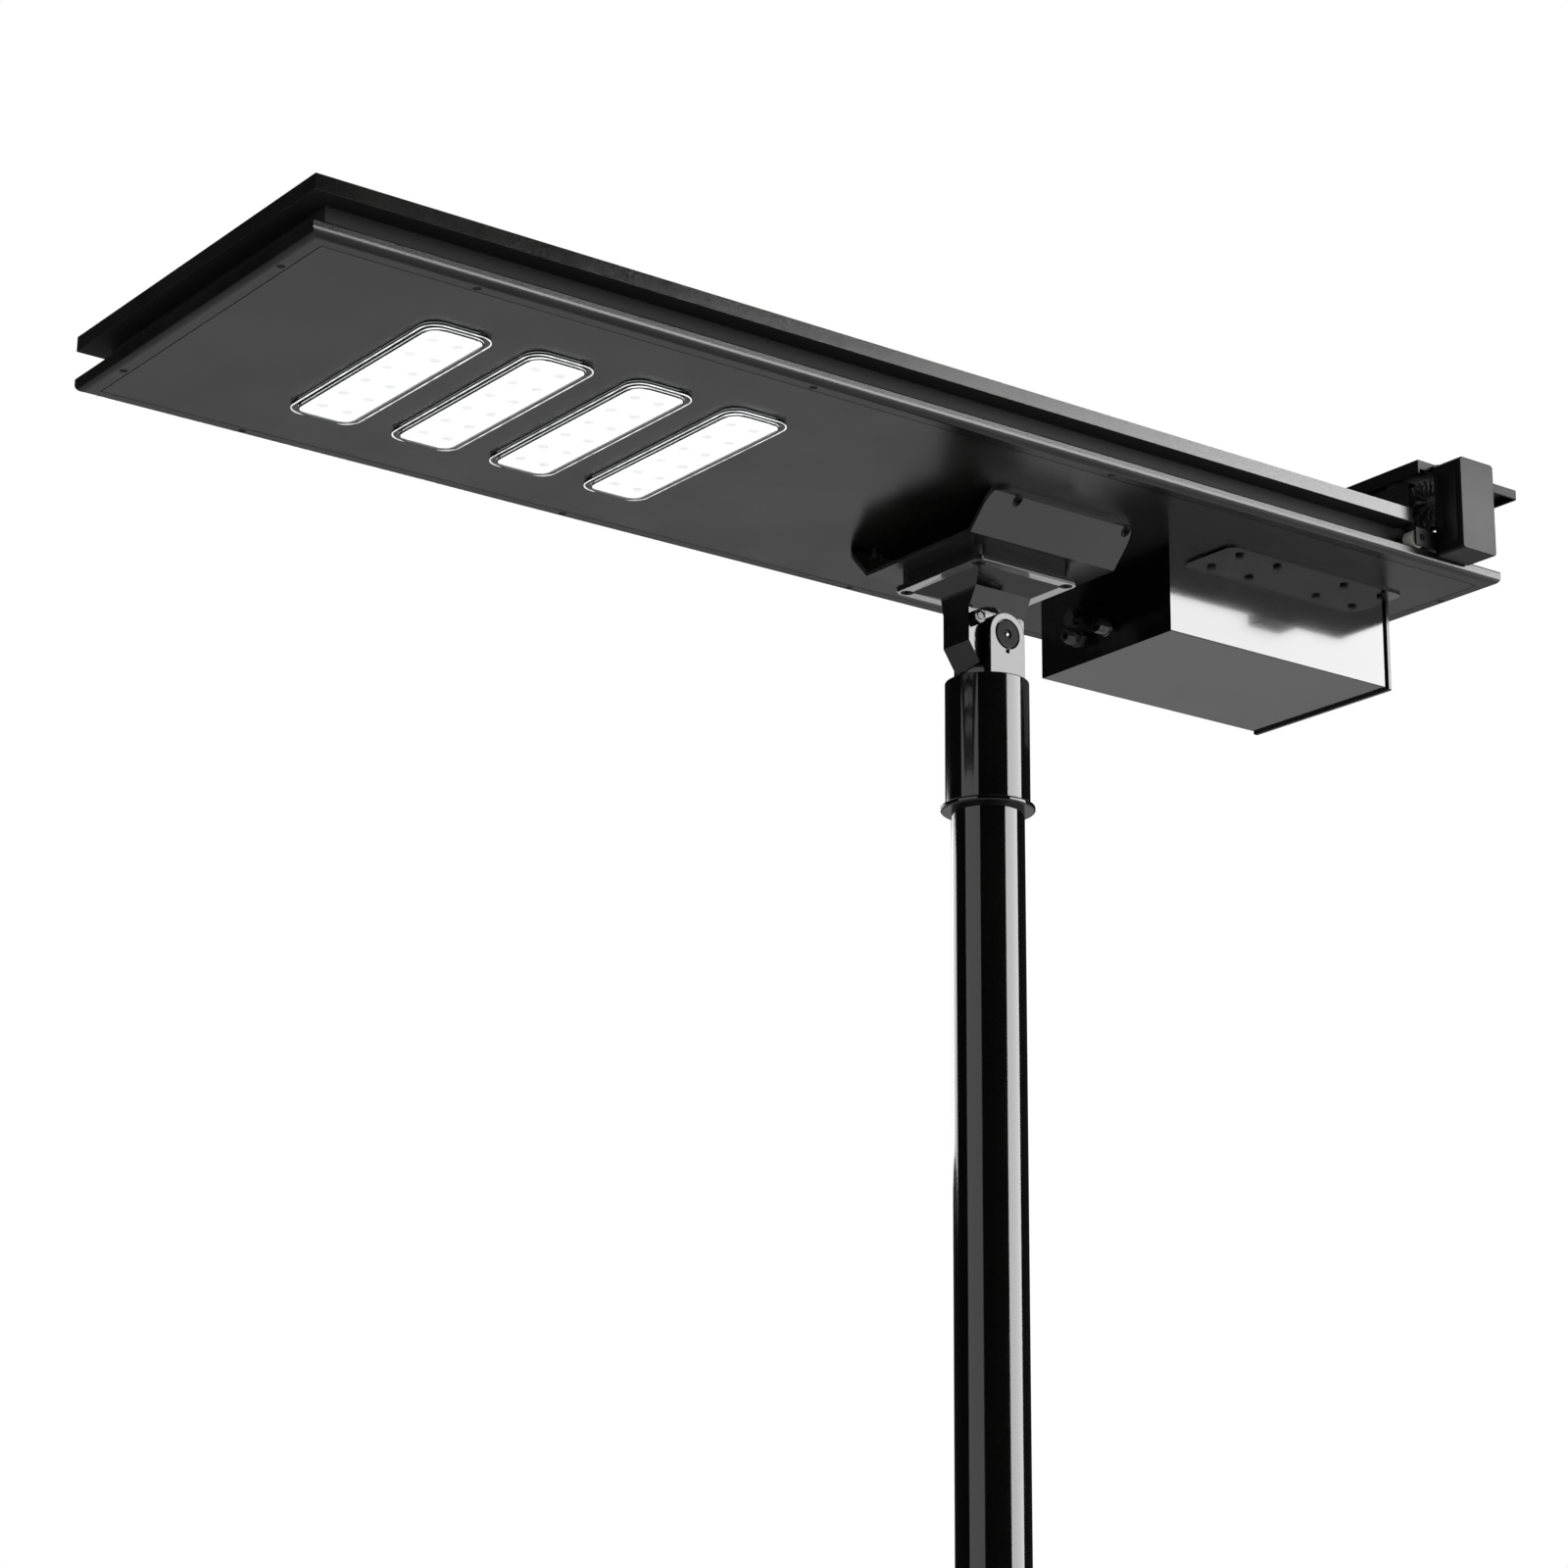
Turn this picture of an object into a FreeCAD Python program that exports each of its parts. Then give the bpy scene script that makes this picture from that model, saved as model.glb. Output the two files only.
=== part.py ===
import FreeCAD, Part
import math
import os
import re
import Sketcher

# Self-cleaning solar street lamp, in millimetres, +Z up.
# The origin is the middle of the foot flange's underside, on the pole's axis. The LED end of the head
# points to -X, the battery and brush end to +X, and the drive side of the brush unit faces -Y.
# Heights on the head are counted from its underside ("underside" in the size sheet), and the knuckle's
# from the pivot. A cutting tool runs 1 mm past the face it opens.

SIZES = {
    # pole and foot
    "pole_radius": 38, "pole_wall": 4, "pole_top": 1348,
    "foot_half": 110, "foot_thick": 12, "foot_corner": 15, "foot_bolt": 80, "foot_hole": 9,
    "gusset_high": 90, "gusset_reach": 60, "gusset_thick": 8, "gusset_tip": 12,
    # sleeve and fork
    "underside": 1520, "sleeve_radius": 44, "sleeve_bore": 38.08, "sleeve_low": 1224, "sleeve_top": 1357,
    "ring_radius": 49, "ring_high": 6, "cap_thick": 6, "cable_hole": 14,
    "pivot": 1403, "cheek_half": 23.5, "far_half": 17, "cheek_in": 24, "cheek_out": 34,
    "cheek_bore": 8.05,
    "recess_radius": 15.5, "recess_deep": 5, "notch_half": 2.5, "notch_low": 21,
    "set_radius": 5, "set_head": 3, "set_angle": 23, "set_step": 60, "set_low": 1250, "set_rise": 80,
    "bolt_radius": 8, "bolt_head": 14.5, "bolt_head_high": 5.5, "bolt_end": 52, "washer_radius": 20,
    "washer_bore": 8.3, "washer_thick": 3, "nut_radius": 13.9, "nut_high": 13, "socket_radius": 5.5,
    "socket_deep": 2, "head_slack": 0.3, "nut_flange": 15.9, "edge_round": 1.2, "rim_round": 2.2,
    # knuckle under the square plate
    "lug_half": 21, "lug_left": 41, "lug_right": 33, "lug_knee": 11, "lug_toe": 25, "lug_heel": 18,
    "lug_foot": 35, "lug_shin": 18, "lug_bore": 8.08, "plate_half": 69.5, "plate_corner": 9,
    "plate_low": 59, "plate_high": 53, "cone_half": 56, "cone_low": 71, "neck_near": 33, "neck_far": 25,
    "neck_low": 92, "plate_bolt": 59,
    "plate_hole": 4.2, "cap_radius": 6.8, "cap_high": 4, "lock_x": 32.5, "lock_z": 1417.5,
    "lock_radius": 8.5, "lock_high": 9, "lock_shank": 5, "spacer_half": 64.5, "spacer_corner": 14,
    # hat bracket
    "web_low": 40, "web_left": 92, "web_right": 102, "web_half": 86, "wing_half": 120, "flange_half": 128,
    "sheet": 4, "slope_in": 2.3, "bracket_corner": 22, "wing_bolt_y": 117.5, "wing_bolt_left": 55,
    "wing_bolt_right": 92, "wing_bolt_head": 5, "wing_seat": 2, "wing_head_high": 3, "wing_bolt_shank": 2.4,
    "wing_boss": 8, "bolt_up": 12,
    # head tray
    "head_left": 942, "head_right": 538, "head_half": 228, "lip_top": 14.7, "groove_deep": 25,
    "wall_in": 28.5, "wall_top": 42.1, "rail_sheet": 3.5, "ledge_in": 34, "ledge_low": 3.1,
    "ledge_top": 6.1,
    "seam_in": 18.6, "plate_in": 19.6, "base_thick": 3, "lip_round": 8, "lip_edge": 2,
    "screw_in": 12.5, "screw_head": 3.7, "screw_shank": 2, "screw_high": 1.2, "screw_up": 3.4,
    "border_first": 767, "border_step": 376, "end_screw_y": 150, "mitre_reach": 40,
    # solar panel frame
    "panel_right": 405, "panel_top": 57.4, "rim_wide": 9, "glass_low": 53.4, "glass_thick": 3.2,
    "rim_in": 15, "flange_top": 45.1, "glass_in": 9.3, "cells_in": 16, "cells_low": 51.4,
    "cells_thick": 1.8,
    "deck_thick": 2, "deck_gap": 0.4, "jbox_left": 300, "jbox_right": 190, "jbox_near": 60,
    "jbox_far": 160,
    "jbox_low": 25,
    # LED modules
    "led_first": 729, "led_pitch": 113, "lens_half_x": 37.5, "lens_half_y": 134, "lens_corner": 18,
    "lens_low": 6.6, "lens_high": 1.2, "lens_wall": 2.2, "lens_lip": 5, "lens_step": 2.6,
    "window_half_x": 30, "window_half_y": 126, "board_gap": 2, "board_low": 1.2,
    "spreader_low": 3.2, "spreader_high": 8, "spreader_left": 785, "spreader_right": 325,
    "spreader_half": 150,
    # battery box
    "box_left": 165, "box_right": 484, "box_half": 104, "box_low": 97.4, "box_wall": 2.5,
    "tab_left": 219, "tab_right": 476, "tab_half": 142, "tab_corner": 10, "tab_screw_y": 126,
    "tab_screw_a": 246, "tab_screw_b": 301, "tab_screw_c": 401, "tab_screw_d": 457, "tab_screw_head": 4.6,
    "tab_screw_high": 2.4, "tab_hole": 2.3, "cap_thin": 4, "cap_half": 107, "cap_low": 100.2,
    "cap_gap": 0.3,
    "pack_left": 185, "pack_right": 420, "pack_half": 86, "pack_low": 88, "pack_high": 16,
    "board_left": 432, "board_right": 474, "board_half": 70, "board_deep": 84, "board_high": 22,
    "gland_y": 40, "gland_z": 68.8, "gland_hole": 8, "gland_nut": 12, "gland_flat": 5, "gland_cap": 9.5,
    "gland_long": 22, "neck_in": 8, "plug_in": 6, "gland_bore": 4, "plug_y": -3, "plug_z": 67,
    "plug_radius": 10.5, "plug_long": 15,
    "plug_hole": 7.5, "plug_cup": 6, "plug_deep": 10, "button_y": 53, "button_z": 41, "bezel_radius": 11,
    "bezel_thick": 3, "bezel_bore": 7.6, "button_radius": 7.5, "button_out": 5.5, "button_in": 6,
    # brush unit
    "hood_left": 418, "hood_right": 574, "hood_half": 226, "hood_top": 117.5, "hood_sheet": 2.5,
    "skirt_low": 102, "lip_low": 107.5, "hood_round": 5, "hood_notch": 4,
    "drive_left": 436, "drive_right": 487, "drive_out": 270, "drive_face": 267.4, "drive_in": 231,
    "drive_low": 9,
    "drive_top": 113, "drive_wall": 2.5, "drive_round": 4, "idler_out": 262, "tongue_in": 200,
    "tongue_low": 112.2, "tongue_left": 441, "tongue_right": 483,
    "tab_x": 491, "tab_y_out": 262, "tab_y_in": 245, "tab_low": 17, "tab_top": 29,
    "brush_x": 462, "brush_z": 85, "brush_radius": 26.5, "core_radius": 8, "brush_half": 205,
    "shaft_near": 252, "shaft_far": 246, "bearing_radius": 14, "bearing_wide": 8,
    "wheel_x": 462, "guide_x": 412, "wheel_z": 25, "wheel_radius": 10, "wheel_out": 228.6,
    "wheel_in": 214,
    "axle_radius": 4, "axle_slack": 0.06, "arm_left": 403, "arm_low": 15, "arm_top": 35,
    "gear_out": 249, "gear_wide": 8, "gear_module": 1.5, "tooth_base": 1, "tooth_middle": 0.66,
    "tooth_tip": 0.32,
    "tooth_out": 0.85, "tooth_foot": 1.25, "tooth_sink": 0.4, "brush_teeth": 26, "wheel_teeth": 14,
    "pinion_teeth": 20,
    "motor_z": 50.5, "motor_radius": 17, "motor_out": 266.4, "motor_in": 250.6, "motor_shaft": 3,
    "shaft_end": 256, "wiper_left": 424, "wiper_right": 434, "wiper_top": 96, "wiper_sheet": 3,
    "wiper_low": 72, "blade_low": 58.4, "blade_thick": 4, "hanger_half": 10, "hanger_step": 160,
}

DOC = FreeCAD.newDocument("SolarStreetLamp")
SHEET = DOC.addObject("Spreadsheet::Sheet", "Sizes")
NODES = []
AXES = {
    "x": FreeCAD.Rotation(FreeCAD.Vector(0, 1, 0), 90),
    "y": FreeCAD.Rotation(FreeCAD.Vector(1, 0, 0), -90),
    "z": FreeCAD.Rotation(),
}


def fill_sheet():
    """Write each size to a row of the sheet: its name, its value, and the name as the cell's alias."""
    for row, (name, value) in enumerate(SIZES.items(), start=1):
        SHEET.set(f"A{row}", name)
        SHEET.set(f"B{row}", str(value))
        SHEET.setAlias(f"B{row}", name)
    DOC.recompute()


def linked(text):
    """Turn the size names in an expression into references to the sheet."""
    return re.sub(r"[a-z][a-z_]+", lambda found: "Sizes." + found.group(), text)


def bind(thing, **sizes):
    """Drive an object's properties with expressions over the sheet."""
    for prop, text in sizes.items():
        thing.setExpression(prop, linked(text))


def place(thing, x="0", y="0", z="0"):
    """Drive an object's position with expressions over the sheet."""
    for letter, text in (("x", x), ("y", y), ("z", z)):
        thing.setExpression("Placement.Base." + letter, linked(text))


def node(thing, label):
    """Name a finished sub-part and list it for export."""
    thing.Label = label
    NODES.append(thing)
    return thing


def box(name, x, y, z):
    """A block; each of x, y, z is a pair of expressions, low then high."""
    block = DOC.addObject("Part::Box", name)
    bind(block, Length=f"({x[1]}) - ({x[0]})", Width=f"({y[1]}) - ({y[0]})",
         Height=f"({z[1]}) - ({z[0]})")
    place(block, x[0], y[0], z[0])
    return block


def rod(name, radius, axis, low, high, across):
    """A cylinder along an axis from low to high; across holds its two other coordinates."""
    cylinder = DOC.addObject("Part::Cylinder", name)
    lay(cylinder, axis, low, high, across)
    bind(cylinder, Radius=radius)
    return cylinder


def hexagon(name, radius, axis, low, high, across):
    """A hexagonal bar along an axis, radius measured to its corners."""
    prism = DOC.addObject("Part::Prism", name)
    prism.Polygon = 6
    lay(prism, axis, low, high, across)
    bind(prism, Circumradius=radius)
    return prism


def lay(solid, axis, low, high, across):
    """Turn a round or hexagonal solid to an axis and drive its ends and place."""
    solid.Placement = FreeCAD.Placement(FreeCAD.Vector(), AXES[axis])
    bind(solid, Height=f"({high}) - ({low})")
    spot = list(across)
    spot.insert("xyz".index(axis), low)
    place(solid, *spot)


def fuse(name, *solids):
    """Join solids into one."""
    joined = DOC.addObject("Part::MultiFuse", name)
    joined.Shapes = list(solids)
    return joined


def cut(name, base, *tools):
    """Remove one or more solids from a base."""
    result = DOC.addObject("Part::Cut", name)
    result.Base = base
    result.Tool = tools[0] if len(tools) == 1 else fuse(name + "_tools", *tools)
    return result


def common(name, first, second):
    """Keep what two solids share."""
    result = DOC.addObject("Part::MultiCommon", name)
    result.Shapes = [first, second]
    return result


def group(name, *solids):
    """Several separate solids in one sub-part."""
    compound = DOC.addObject("Part::Compound", name)
    compound.Links = list(solids)
    return compound


def outline(body, plane, corners):
    """A closed sketch on one of the body's planes, with every corner driven from the sheet."""
    sketch = body.newObject("Sketcher::SketchObject", body.Name + "_sketch")
    role = plane + "_Plane"
    support = [feature for feature in body.Origin.OriginFeatures if feature.Role == role][0]
    sketch.AttachmentSupport = [(support, "")]
    sketch.MapMode = "FlatFace"
    count = len(corners)
    turns = [2 * math.pi * index / count for index in range(count)]
    start = [FreeCAD.Vector(math.cos(turn), math.sin(turn), 0) for turn in turns]
    for index in range(count):
        sketch.addGeometry(Part.LineSegment(start[index], start[(index + 1) % count]))
    for index in range(count):
        sketch.addConstraint(Sketcher.Constraint("Coincident", index, 2, (index + 1) % count, 1))
    for index, (across, up) in enumerate(corners):
        for kind, value, text in (("DistanceX", start[index].x, across),
                                  ("DistanceY", start[index].y, up)):
            number = sketch.addConstraint(Sketcher.Constraint(kind, -1, 1, index, 1, value))
            sketch.setExpression(f"Constraints[{number}]", linked(text))
    return sketch


def profile(name, plane, corners, low, high):
    """A sketched outline padded from low to high along the normal of plane XY, XZ or YZ."""
    body = DOC.addObject("PartDesign::Body", name)
    pad = body.newObject("PartDesign::Pad", name + "_pad")
    pad.Profile = outline(body, plane, corners)
    bind(pad, Length=f"({high}) - ({low})")
    body.Tip = pad
    if plane == "XZ":
        place(body, y=high)  # this plane's normal is -Y, so the pad runs down from high
    elif plane == "YZ":
        place(body, x=low)
    else:
        place(body, z=low)
    return body


def edges_along(shape, axis):
    """Numbers of the straight edges parallel to an axis."""
    direction = FreeCAD.Vector(*[letter == axis for letter in "xyz"])
    found = []
    for number, edge in enumerate(shape.Edges, start=1):
        run = edge.Vertexes[-1].Point - edge.Vertexes[0].Point
        if run.Length > 0 and abs(run.normalize().dot(direction)) > 0.999:
            found.append(number)
    return found


def rounded(name, base, axis, size, keep=None):
    """Round the edges parallel to an axis; keep picks edges by their middle point."""
    DOC.recompute()
    radius = SIZES[size]
    edges = [
        number for number in edges_along(base.Shape, axis)
        if keep is None or keep(base.Shape.Edges[number - 1].CenterOfMass)
    ]
    result = DOC.addObject("Part::Fillet", name)
    result.Base = base
    result.Edges = [(number, radius, radius) for number in edges]
    return result


def eased(name, base, size, keep):
    """Round the edges for which keep(edge) is true."""
    DOC.recompute()
    radius = SIZES[size]
    result = DOC.addObject("Part::Fillet", name)
    result.Base = base
    result.Edges = [
        (number, radius, radius) for number, edge in enumerate(base.Shape.Edges, start=1) if keep(edge)
    ]
    return result


def outer_circle(edge, height, size):
    """True for a level circle of a named radius, at one height or at any."""
    bounds = edge.BoundBox
    level = bounds.ZLength < 0.01 and abs(bounds.XLength - 2 * SIZES[size]) < 0.01
    return level and (height is None or abs(bounds.ZMin - height) < 0.01)


def lies_on(edge, axis, distance):
    """True for an edge that lies wholly at a distance from the middle along an axis."""
    bounds = edge.BoundBox
    low, high = (getattr(bounds, axis.upper() + end) for end in ("Min", "Max"))
    return high - low < 0.01 and abs(abs(low) - distance) < 0.01


# ---------------------------------------------------------------- pole and foot

def make_pole():
    """The tube, the foot flange it is welded into, and four gussets."""
    outer = rod("pole_outer", "pole_radius", "z", "0", "pole_top", ("0", "0"))
    inner = rod("pole_inner", "pole_radius - pole_wall", "z", "-1", "pole_top + 1", ("0", "0"))
    node(cut("pole_cut", outer, inner), "pole_tube")
    plate = box("foot_block", ("-foot_half", "foot_half"), ("-foot_half", "foot_half"),
                ("0", "foot_thick"))
    plate = rounded("foot_round", plate, "z", "foot_corner")
    holes = [rod("foot_middle", "pole_radius", "z", "-1", "foot_thick + 1", ("0", "0"))]
    for number, (x, y) in enumerate(corners_of("foot_bolt", "foot_bolt")):
        holes.append(rod(f"foot_hole_{number}", "foot_hole", "z", "-1", "foot_thick + 1", (x, y)))
    node(cut("foot_cut", plate, *holes), "foot_flange")
    ribs = []
    for number in range(4):
        rib = profile(f"gusset_{number}", "XZ", [
            ("pole_radius", "foot_thick"),
            ("pole_radius + gusset_reach", "foot_thick"),
            ("pole_radius + gusset_reach", "foot_thick + gusset_tip"),
            ("pole_radius + gusset_tip", "foot_thick + gusset_high"),
            ("pole_radius", "foot_thick + gusset_high"),
        ], "-gusset_thick / 2", "gusset_thick / 2")
        ribs.append(turned(f"gusset_turn_{number}", rib, 90 * number))
    node(group("gusset_group", *ribs), "foot_gussets")


def turned(name, solid, angle):
    """A solid turned about the pole's axis."""
    holder = DOC.addObject("Part::Compound", name)
    holder.Links = [solid]
    holder.Placement = FreeCAD.Placement(FreeCAD.Vector(),
                                         FreeCAD.Rotation(FreeCAD.Vector(0, 0, 1), angle))
    return holder


def corners_of(x, y):
    """The four corners of a centred rectangle, as expressions."""
    return [(sx + x, sy + y) for sx in ("-", "") for sy in ("-", "")]


# ---------------------------------------------------------------- sleeve and fork

def make_sleeve():
    """The tube that slips over the pole, its lower ring, its top disc and its set screws."""
    tube = rod("sleeve_outer", "sleeve_radius", "z", "sleeve_low", "sleeve_top", ("0", "0"))
    bore = rod("sleeve_inner", "sleeve_bore", "z", "sleeve_low - 1", "sleeve_top + 1", ("0", "0"))
    holes = []
    screws = []
    for number in range(4):
        angle = SIZES["set_angle"] + SIZES["set_step"] * (number % 2)
        height = "set_low" if number < 2 else "set_low + set_rise"
        hole = rod(f"set_hole_{number}", "set_radius", "x", "pole_radius - 1", "sleeve_radius + 4",
                   ("0", height))
        holes.append(turned(f"set_hole_turn_{number}", hole, angle))
        screw = rod(f"set_shank_{number}", "set_radius", "x", "sleeve_bore", "sleeve_radius + set_head",
                    ("0", height))
        socket = hexagon(f"set_socket_{number}", "set_radius / 2", "x", "sleeve_radius",
                         "sleeve_radius + 4",
                         ("0", height))
        screws.append(turned(f"set_turn_{number}", cut(f"set_screw_{number}", screw, socket), angle))
    tube = cut("sleeve_cut", tube, bore, *holes)
    top = SIZES["sleeve_top"]
    node(eased("sleeve_eased", tube, "edge_round", lambda edge: outer_circle(edge, top, "sleeve_radius")),
         "sleeve_tube")
    node(group("set_group", *screws), "set_screws")
    ring = rod("ring_outer", "ring_radius", "z", "sleeve_low - ring_high", "sleeve_low", ("0", "0"))
    ring_bore = rod("ring_inner", "sleeve_bore", "z", "sleeve_low - ring_high - 1", "sleeve_low + 1",
                    ("0", "0"))
    ring = cut("ring_cut", ring, ring_bore)
    node(eased("ring_eased", ring, "rim_round", lambda edge: outer_circle(edge, None, "ring_radius")),
         "sleeve_ring")
    disc = rod("cap_outer", "sleeve_bore", "z", "sleeve_top - cap_thick", "sleeve_top", ("0", "0"))
    hole = rod("cap_hole", "cable_hole", "z", "sleeve_top - cap_thick - 1", "sleeve_top + 1", ("0", "0"))
    node(cut("cap_cut", disc, hole), "sleeve_cap")


def make_fork():
    """Two cheeks with rounded tops; the near one is wider, with a counterbore and a drain notch."""
    cheeks = []
    sides = (("near", "cheek_half", "-cheek_out", "-cheek_in"),
             ("far", "far_half", "cheek_in", "cheek_out"))
    for side, half, low, high in sides:
        post = box(f"post_{side}", ("-" + half, half), (low, high), ("sleeve_top", "pivot"))
        dome = rod(f"dome_{side}", half, "y", low, high, ("0", "pivot"))
        bore = rod(f"bore_{side}", "cheek_bore", "y", low + " - 1", high + " + 1", ("0", "pivot"))
        tools = [bore]
        if side == "near":
            deep = "-cheek_out + recess_deep"
            tools.append(rod("recess", "recess_radius", "y", "-cheek_out - 1", deep, ("0", "pivot")))
            notch_x = ("-notch_half", "notch_half")
            notch_z = ("pivot - notch_low", "pivot - recess_radius + 1")
            tools.append(box("notch", notch_x, ("-cheek_out - 1", deep), notch_z))
        cheek = cut(f"cheek_{side}", fuse(f"cheek_solid_{side}", post, dome), *tools)
        face = SIZES["cheek_out"]
        cheeks.append(eased(f"cheek_eased_{side}", cheek, "edge_round",
                            lambda edge, y=face: lies_on(edge, "y",
                                                         y) and edge.BoundBox.DiagonalLength > y))
    node(group("cheek_group", *cheeks), "fork_cheeks")


def make_tilt_bolt():
    """The pivot bolt along Y, its nut and washer at the far side, and the two thrust washers."""
    seat = "-cheek_out + recess_deep"
    shank = rod("tilt_shank", "bolt_radius", "y", seat, "bolt_end", ("0", "pivot"))
    head = rod("tilt_head", "bolt_head", "y", seat + " - bolt_head_high", seat, ("0", "pivot"))
    socket = hexagon("tilt_socket", "socket_radius", "y", seat + " - bolt_head_high - 1",
                     seat + " - bolt_head_high + socket_deep",
                     ("0", "pivot"))
    node(cut("tilt_cut", fuse("tilt_solid", shank, head), socket), "tilt_bolt")
    flat = rod("nut_washer", "nut_flange", "y", "cheek_out", "cheek_out + washer_thick", ("0", "pivot"))
    nut = hexagon("nut_body", "nut_radius", "y", "cheek_out + washer_thick",
                  "cheek_out + washer_thick + nut_high", ("0", "pivot"))
    hole = rod("nut_hole", "bolt_radius", "y", "cheek_out - 1", "bolt_end + 1", ("0", "pivot"))
    node(cut("nut_cut", fuse("nut_solid", flat, nut), hole), "tilt_nut")
    washers = []
    for side, low, high in (("near", "-cheek_in", "-lug_half"), ("far", "lug_half", "cheek_in")):
        disc = rod(f"thrust_{side}", "washer_radius", "y", low, high, ("0", "pivot"))
        hole = rod(f"thrust_hole_{side}", "washer_bore", "y", low + " - 1", high + " + 1", ("0", "pivot"))
        washers.append(cut(f"thrust_cut_{side}", disc, hole))
    node(group("thrust_group", *washers), "knuckle_washers")


# ---------------------------------------------------------------- knuckle, spacer and hat bracket

def make_knuckle():
    """One casting: square plate, tapered cone under it, and the lug between the cheeks."""
    span = ("-plate_half", "plate_half")
    plate = box("plate_block", span, span, ("underside - plate_low", "underside - plate_high"))
    plate = rounded("plate_round", plate, "z", "plate_corner")
    plate = eased("plate_eased", plate, "edge_round",
                  lambda edge, block=plate: edge.BoundBox.ZLength < 0.01
                  and edge.BoundBox.ZMax < block.Shape.BoundBox.ZMax)
    cone = tapered("cone", "plate_low", "cone_low", ("-cone_half", "cone_half", "-cone_half", "cone_half"),
                   ("-lug_left", "lug_right", "-neck_near", "neck_far"))
    neck = tapered("neck", "cone_low", "neck_low", ("-lug_left", "lug_right", "-neck_near", "neck_far"),
                   ("-lug_left", "lug_right", "-lug_half", "lug_half"))
    lug = profile("lug", "XZ", [
        ("-lug_left", "underside - plate_low"),
        ("-lug_left", "pivot - lug_knee"),
        ("-lug_toe", "pivot - lug_foot"),
        ("lug_heel", "pivot - lug_foot"),
        ("lug_right", "pivot - lug_shin"),
        ("lug_right", "underside - plate_low"),
    ], "-lug_half", "lug_half")
    tools = [rod("lug_bore", "lug_bore", "y", "-lug_half - 1", "lug_half + 1", ("0", "pivot"))]
    for number, (x, y) in enumerate(corners_of("plate_bolt", "plate_bolt")):
        low = "underside - plate_low - 1"
        tools.append(rod(f"plate_hole_{number}", "plate_hole", "z", low, "underside - plate_high + 1",
                         (x, y)))
        seat = "underside - plate_low + cap_high"
        tools.append(rod(f"plate_seat_{number}", "cap_radius + head_slack", "z", low, seat, (x, y)))
    tools.append(rod("lock_hole", "lock_shank", "y", "-lug_half - 1", "lug_half + 1",
                     ("-lock_x", "lock_z")))
    node(cut("knuckle_cut", fuse("knuckle_solid", plate, cone, neck, lug), *tools), "knuckle_casting")


def tapered(name, top, low, above, below):
    """A block narrowing downwards from one rectangle to another, between two depths under the head.

    above and below each hold the two X and the two Y limits.
    """
    wedge = DOC.addObject("Part::Wedge", name)
    bind(wedge, Xmin=above[0], Xmax=above[1], Zmin=above[2], Zmax=above[3], Ymin="0", Ymax=f"{low} - {top}",
         X2min=below[0], X2max=below[1], Z2min=below[2], Z2max=below[3])
    wedge.Placement = FreeCAD.Placement(FreeCAD.Vector(), FreeCAD.Rotation(FreeCAD.Vector(1, 0, 0), -90))
    place(wedge, z=f"underside - {top}")
    return wedge


def make_knuckle_bolts():
    """Four countersunk cap screws in the plate's corners and the lock bolt through the lug."""
    screws = []
    for number, (x, y) in enumerate(corners_of("plate_bolt", "plate_bolt")):
        low = "underside - plate_low"
        head = rod(f"corner_head_{number}", "cap_radius", "z", low, low + " + cap_high", (x, y))
        top = "underside - web_low + sheet + bolt_up"
        shank = rod(f"corner_shank_{number}", "plate_hole", "z", low, top, (x, y))
        socket = hexagon(f"corner_socket_{number}", "cap_radius / 2", "z", low + " - 1",
                         low + " + socket_deep", (x, y))
        screws.append(cut(f"corner_screw_{number}", fuse(f"corner_{number}", head, shank), socket))
    node(group("plate_bolt_group", *screws), "plate_bolts")
    spot = ("-lock_x", "lock_z")
    shank = rod("lock_bar", "lock_shank", "y", "-lug_half - lock_high", "lug_half", spot)
    near = hexagon("lock_near", "lock_radius", "y", "-lug_half - lock_high", "-lug_half", spot)
    node(fuse("lock_solid", shank, near), "lock_bolt")


def make_spacer():
    """The block between the square plate and the bracket's web."""
    span = ("-spacer_half", "spacer_half")
    block = box("spacer_box", span, span, ("underside - plate_high", "underside - web_low"))
    block = rounded("spacer_round", block, "z", "spacer_corner")
    holes = [
        rod(f"spacer_hole_{number}", "plate_hole", "z", "underside - plate_high - 1",
            "underside - web_low + 1", spot)
        for number, spot in enumerate(corners_of("plate_bolt", "plate_bolt"))
    ]
    node(cut("spacer_cut", block, *holes), "spacer_block")


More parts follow.
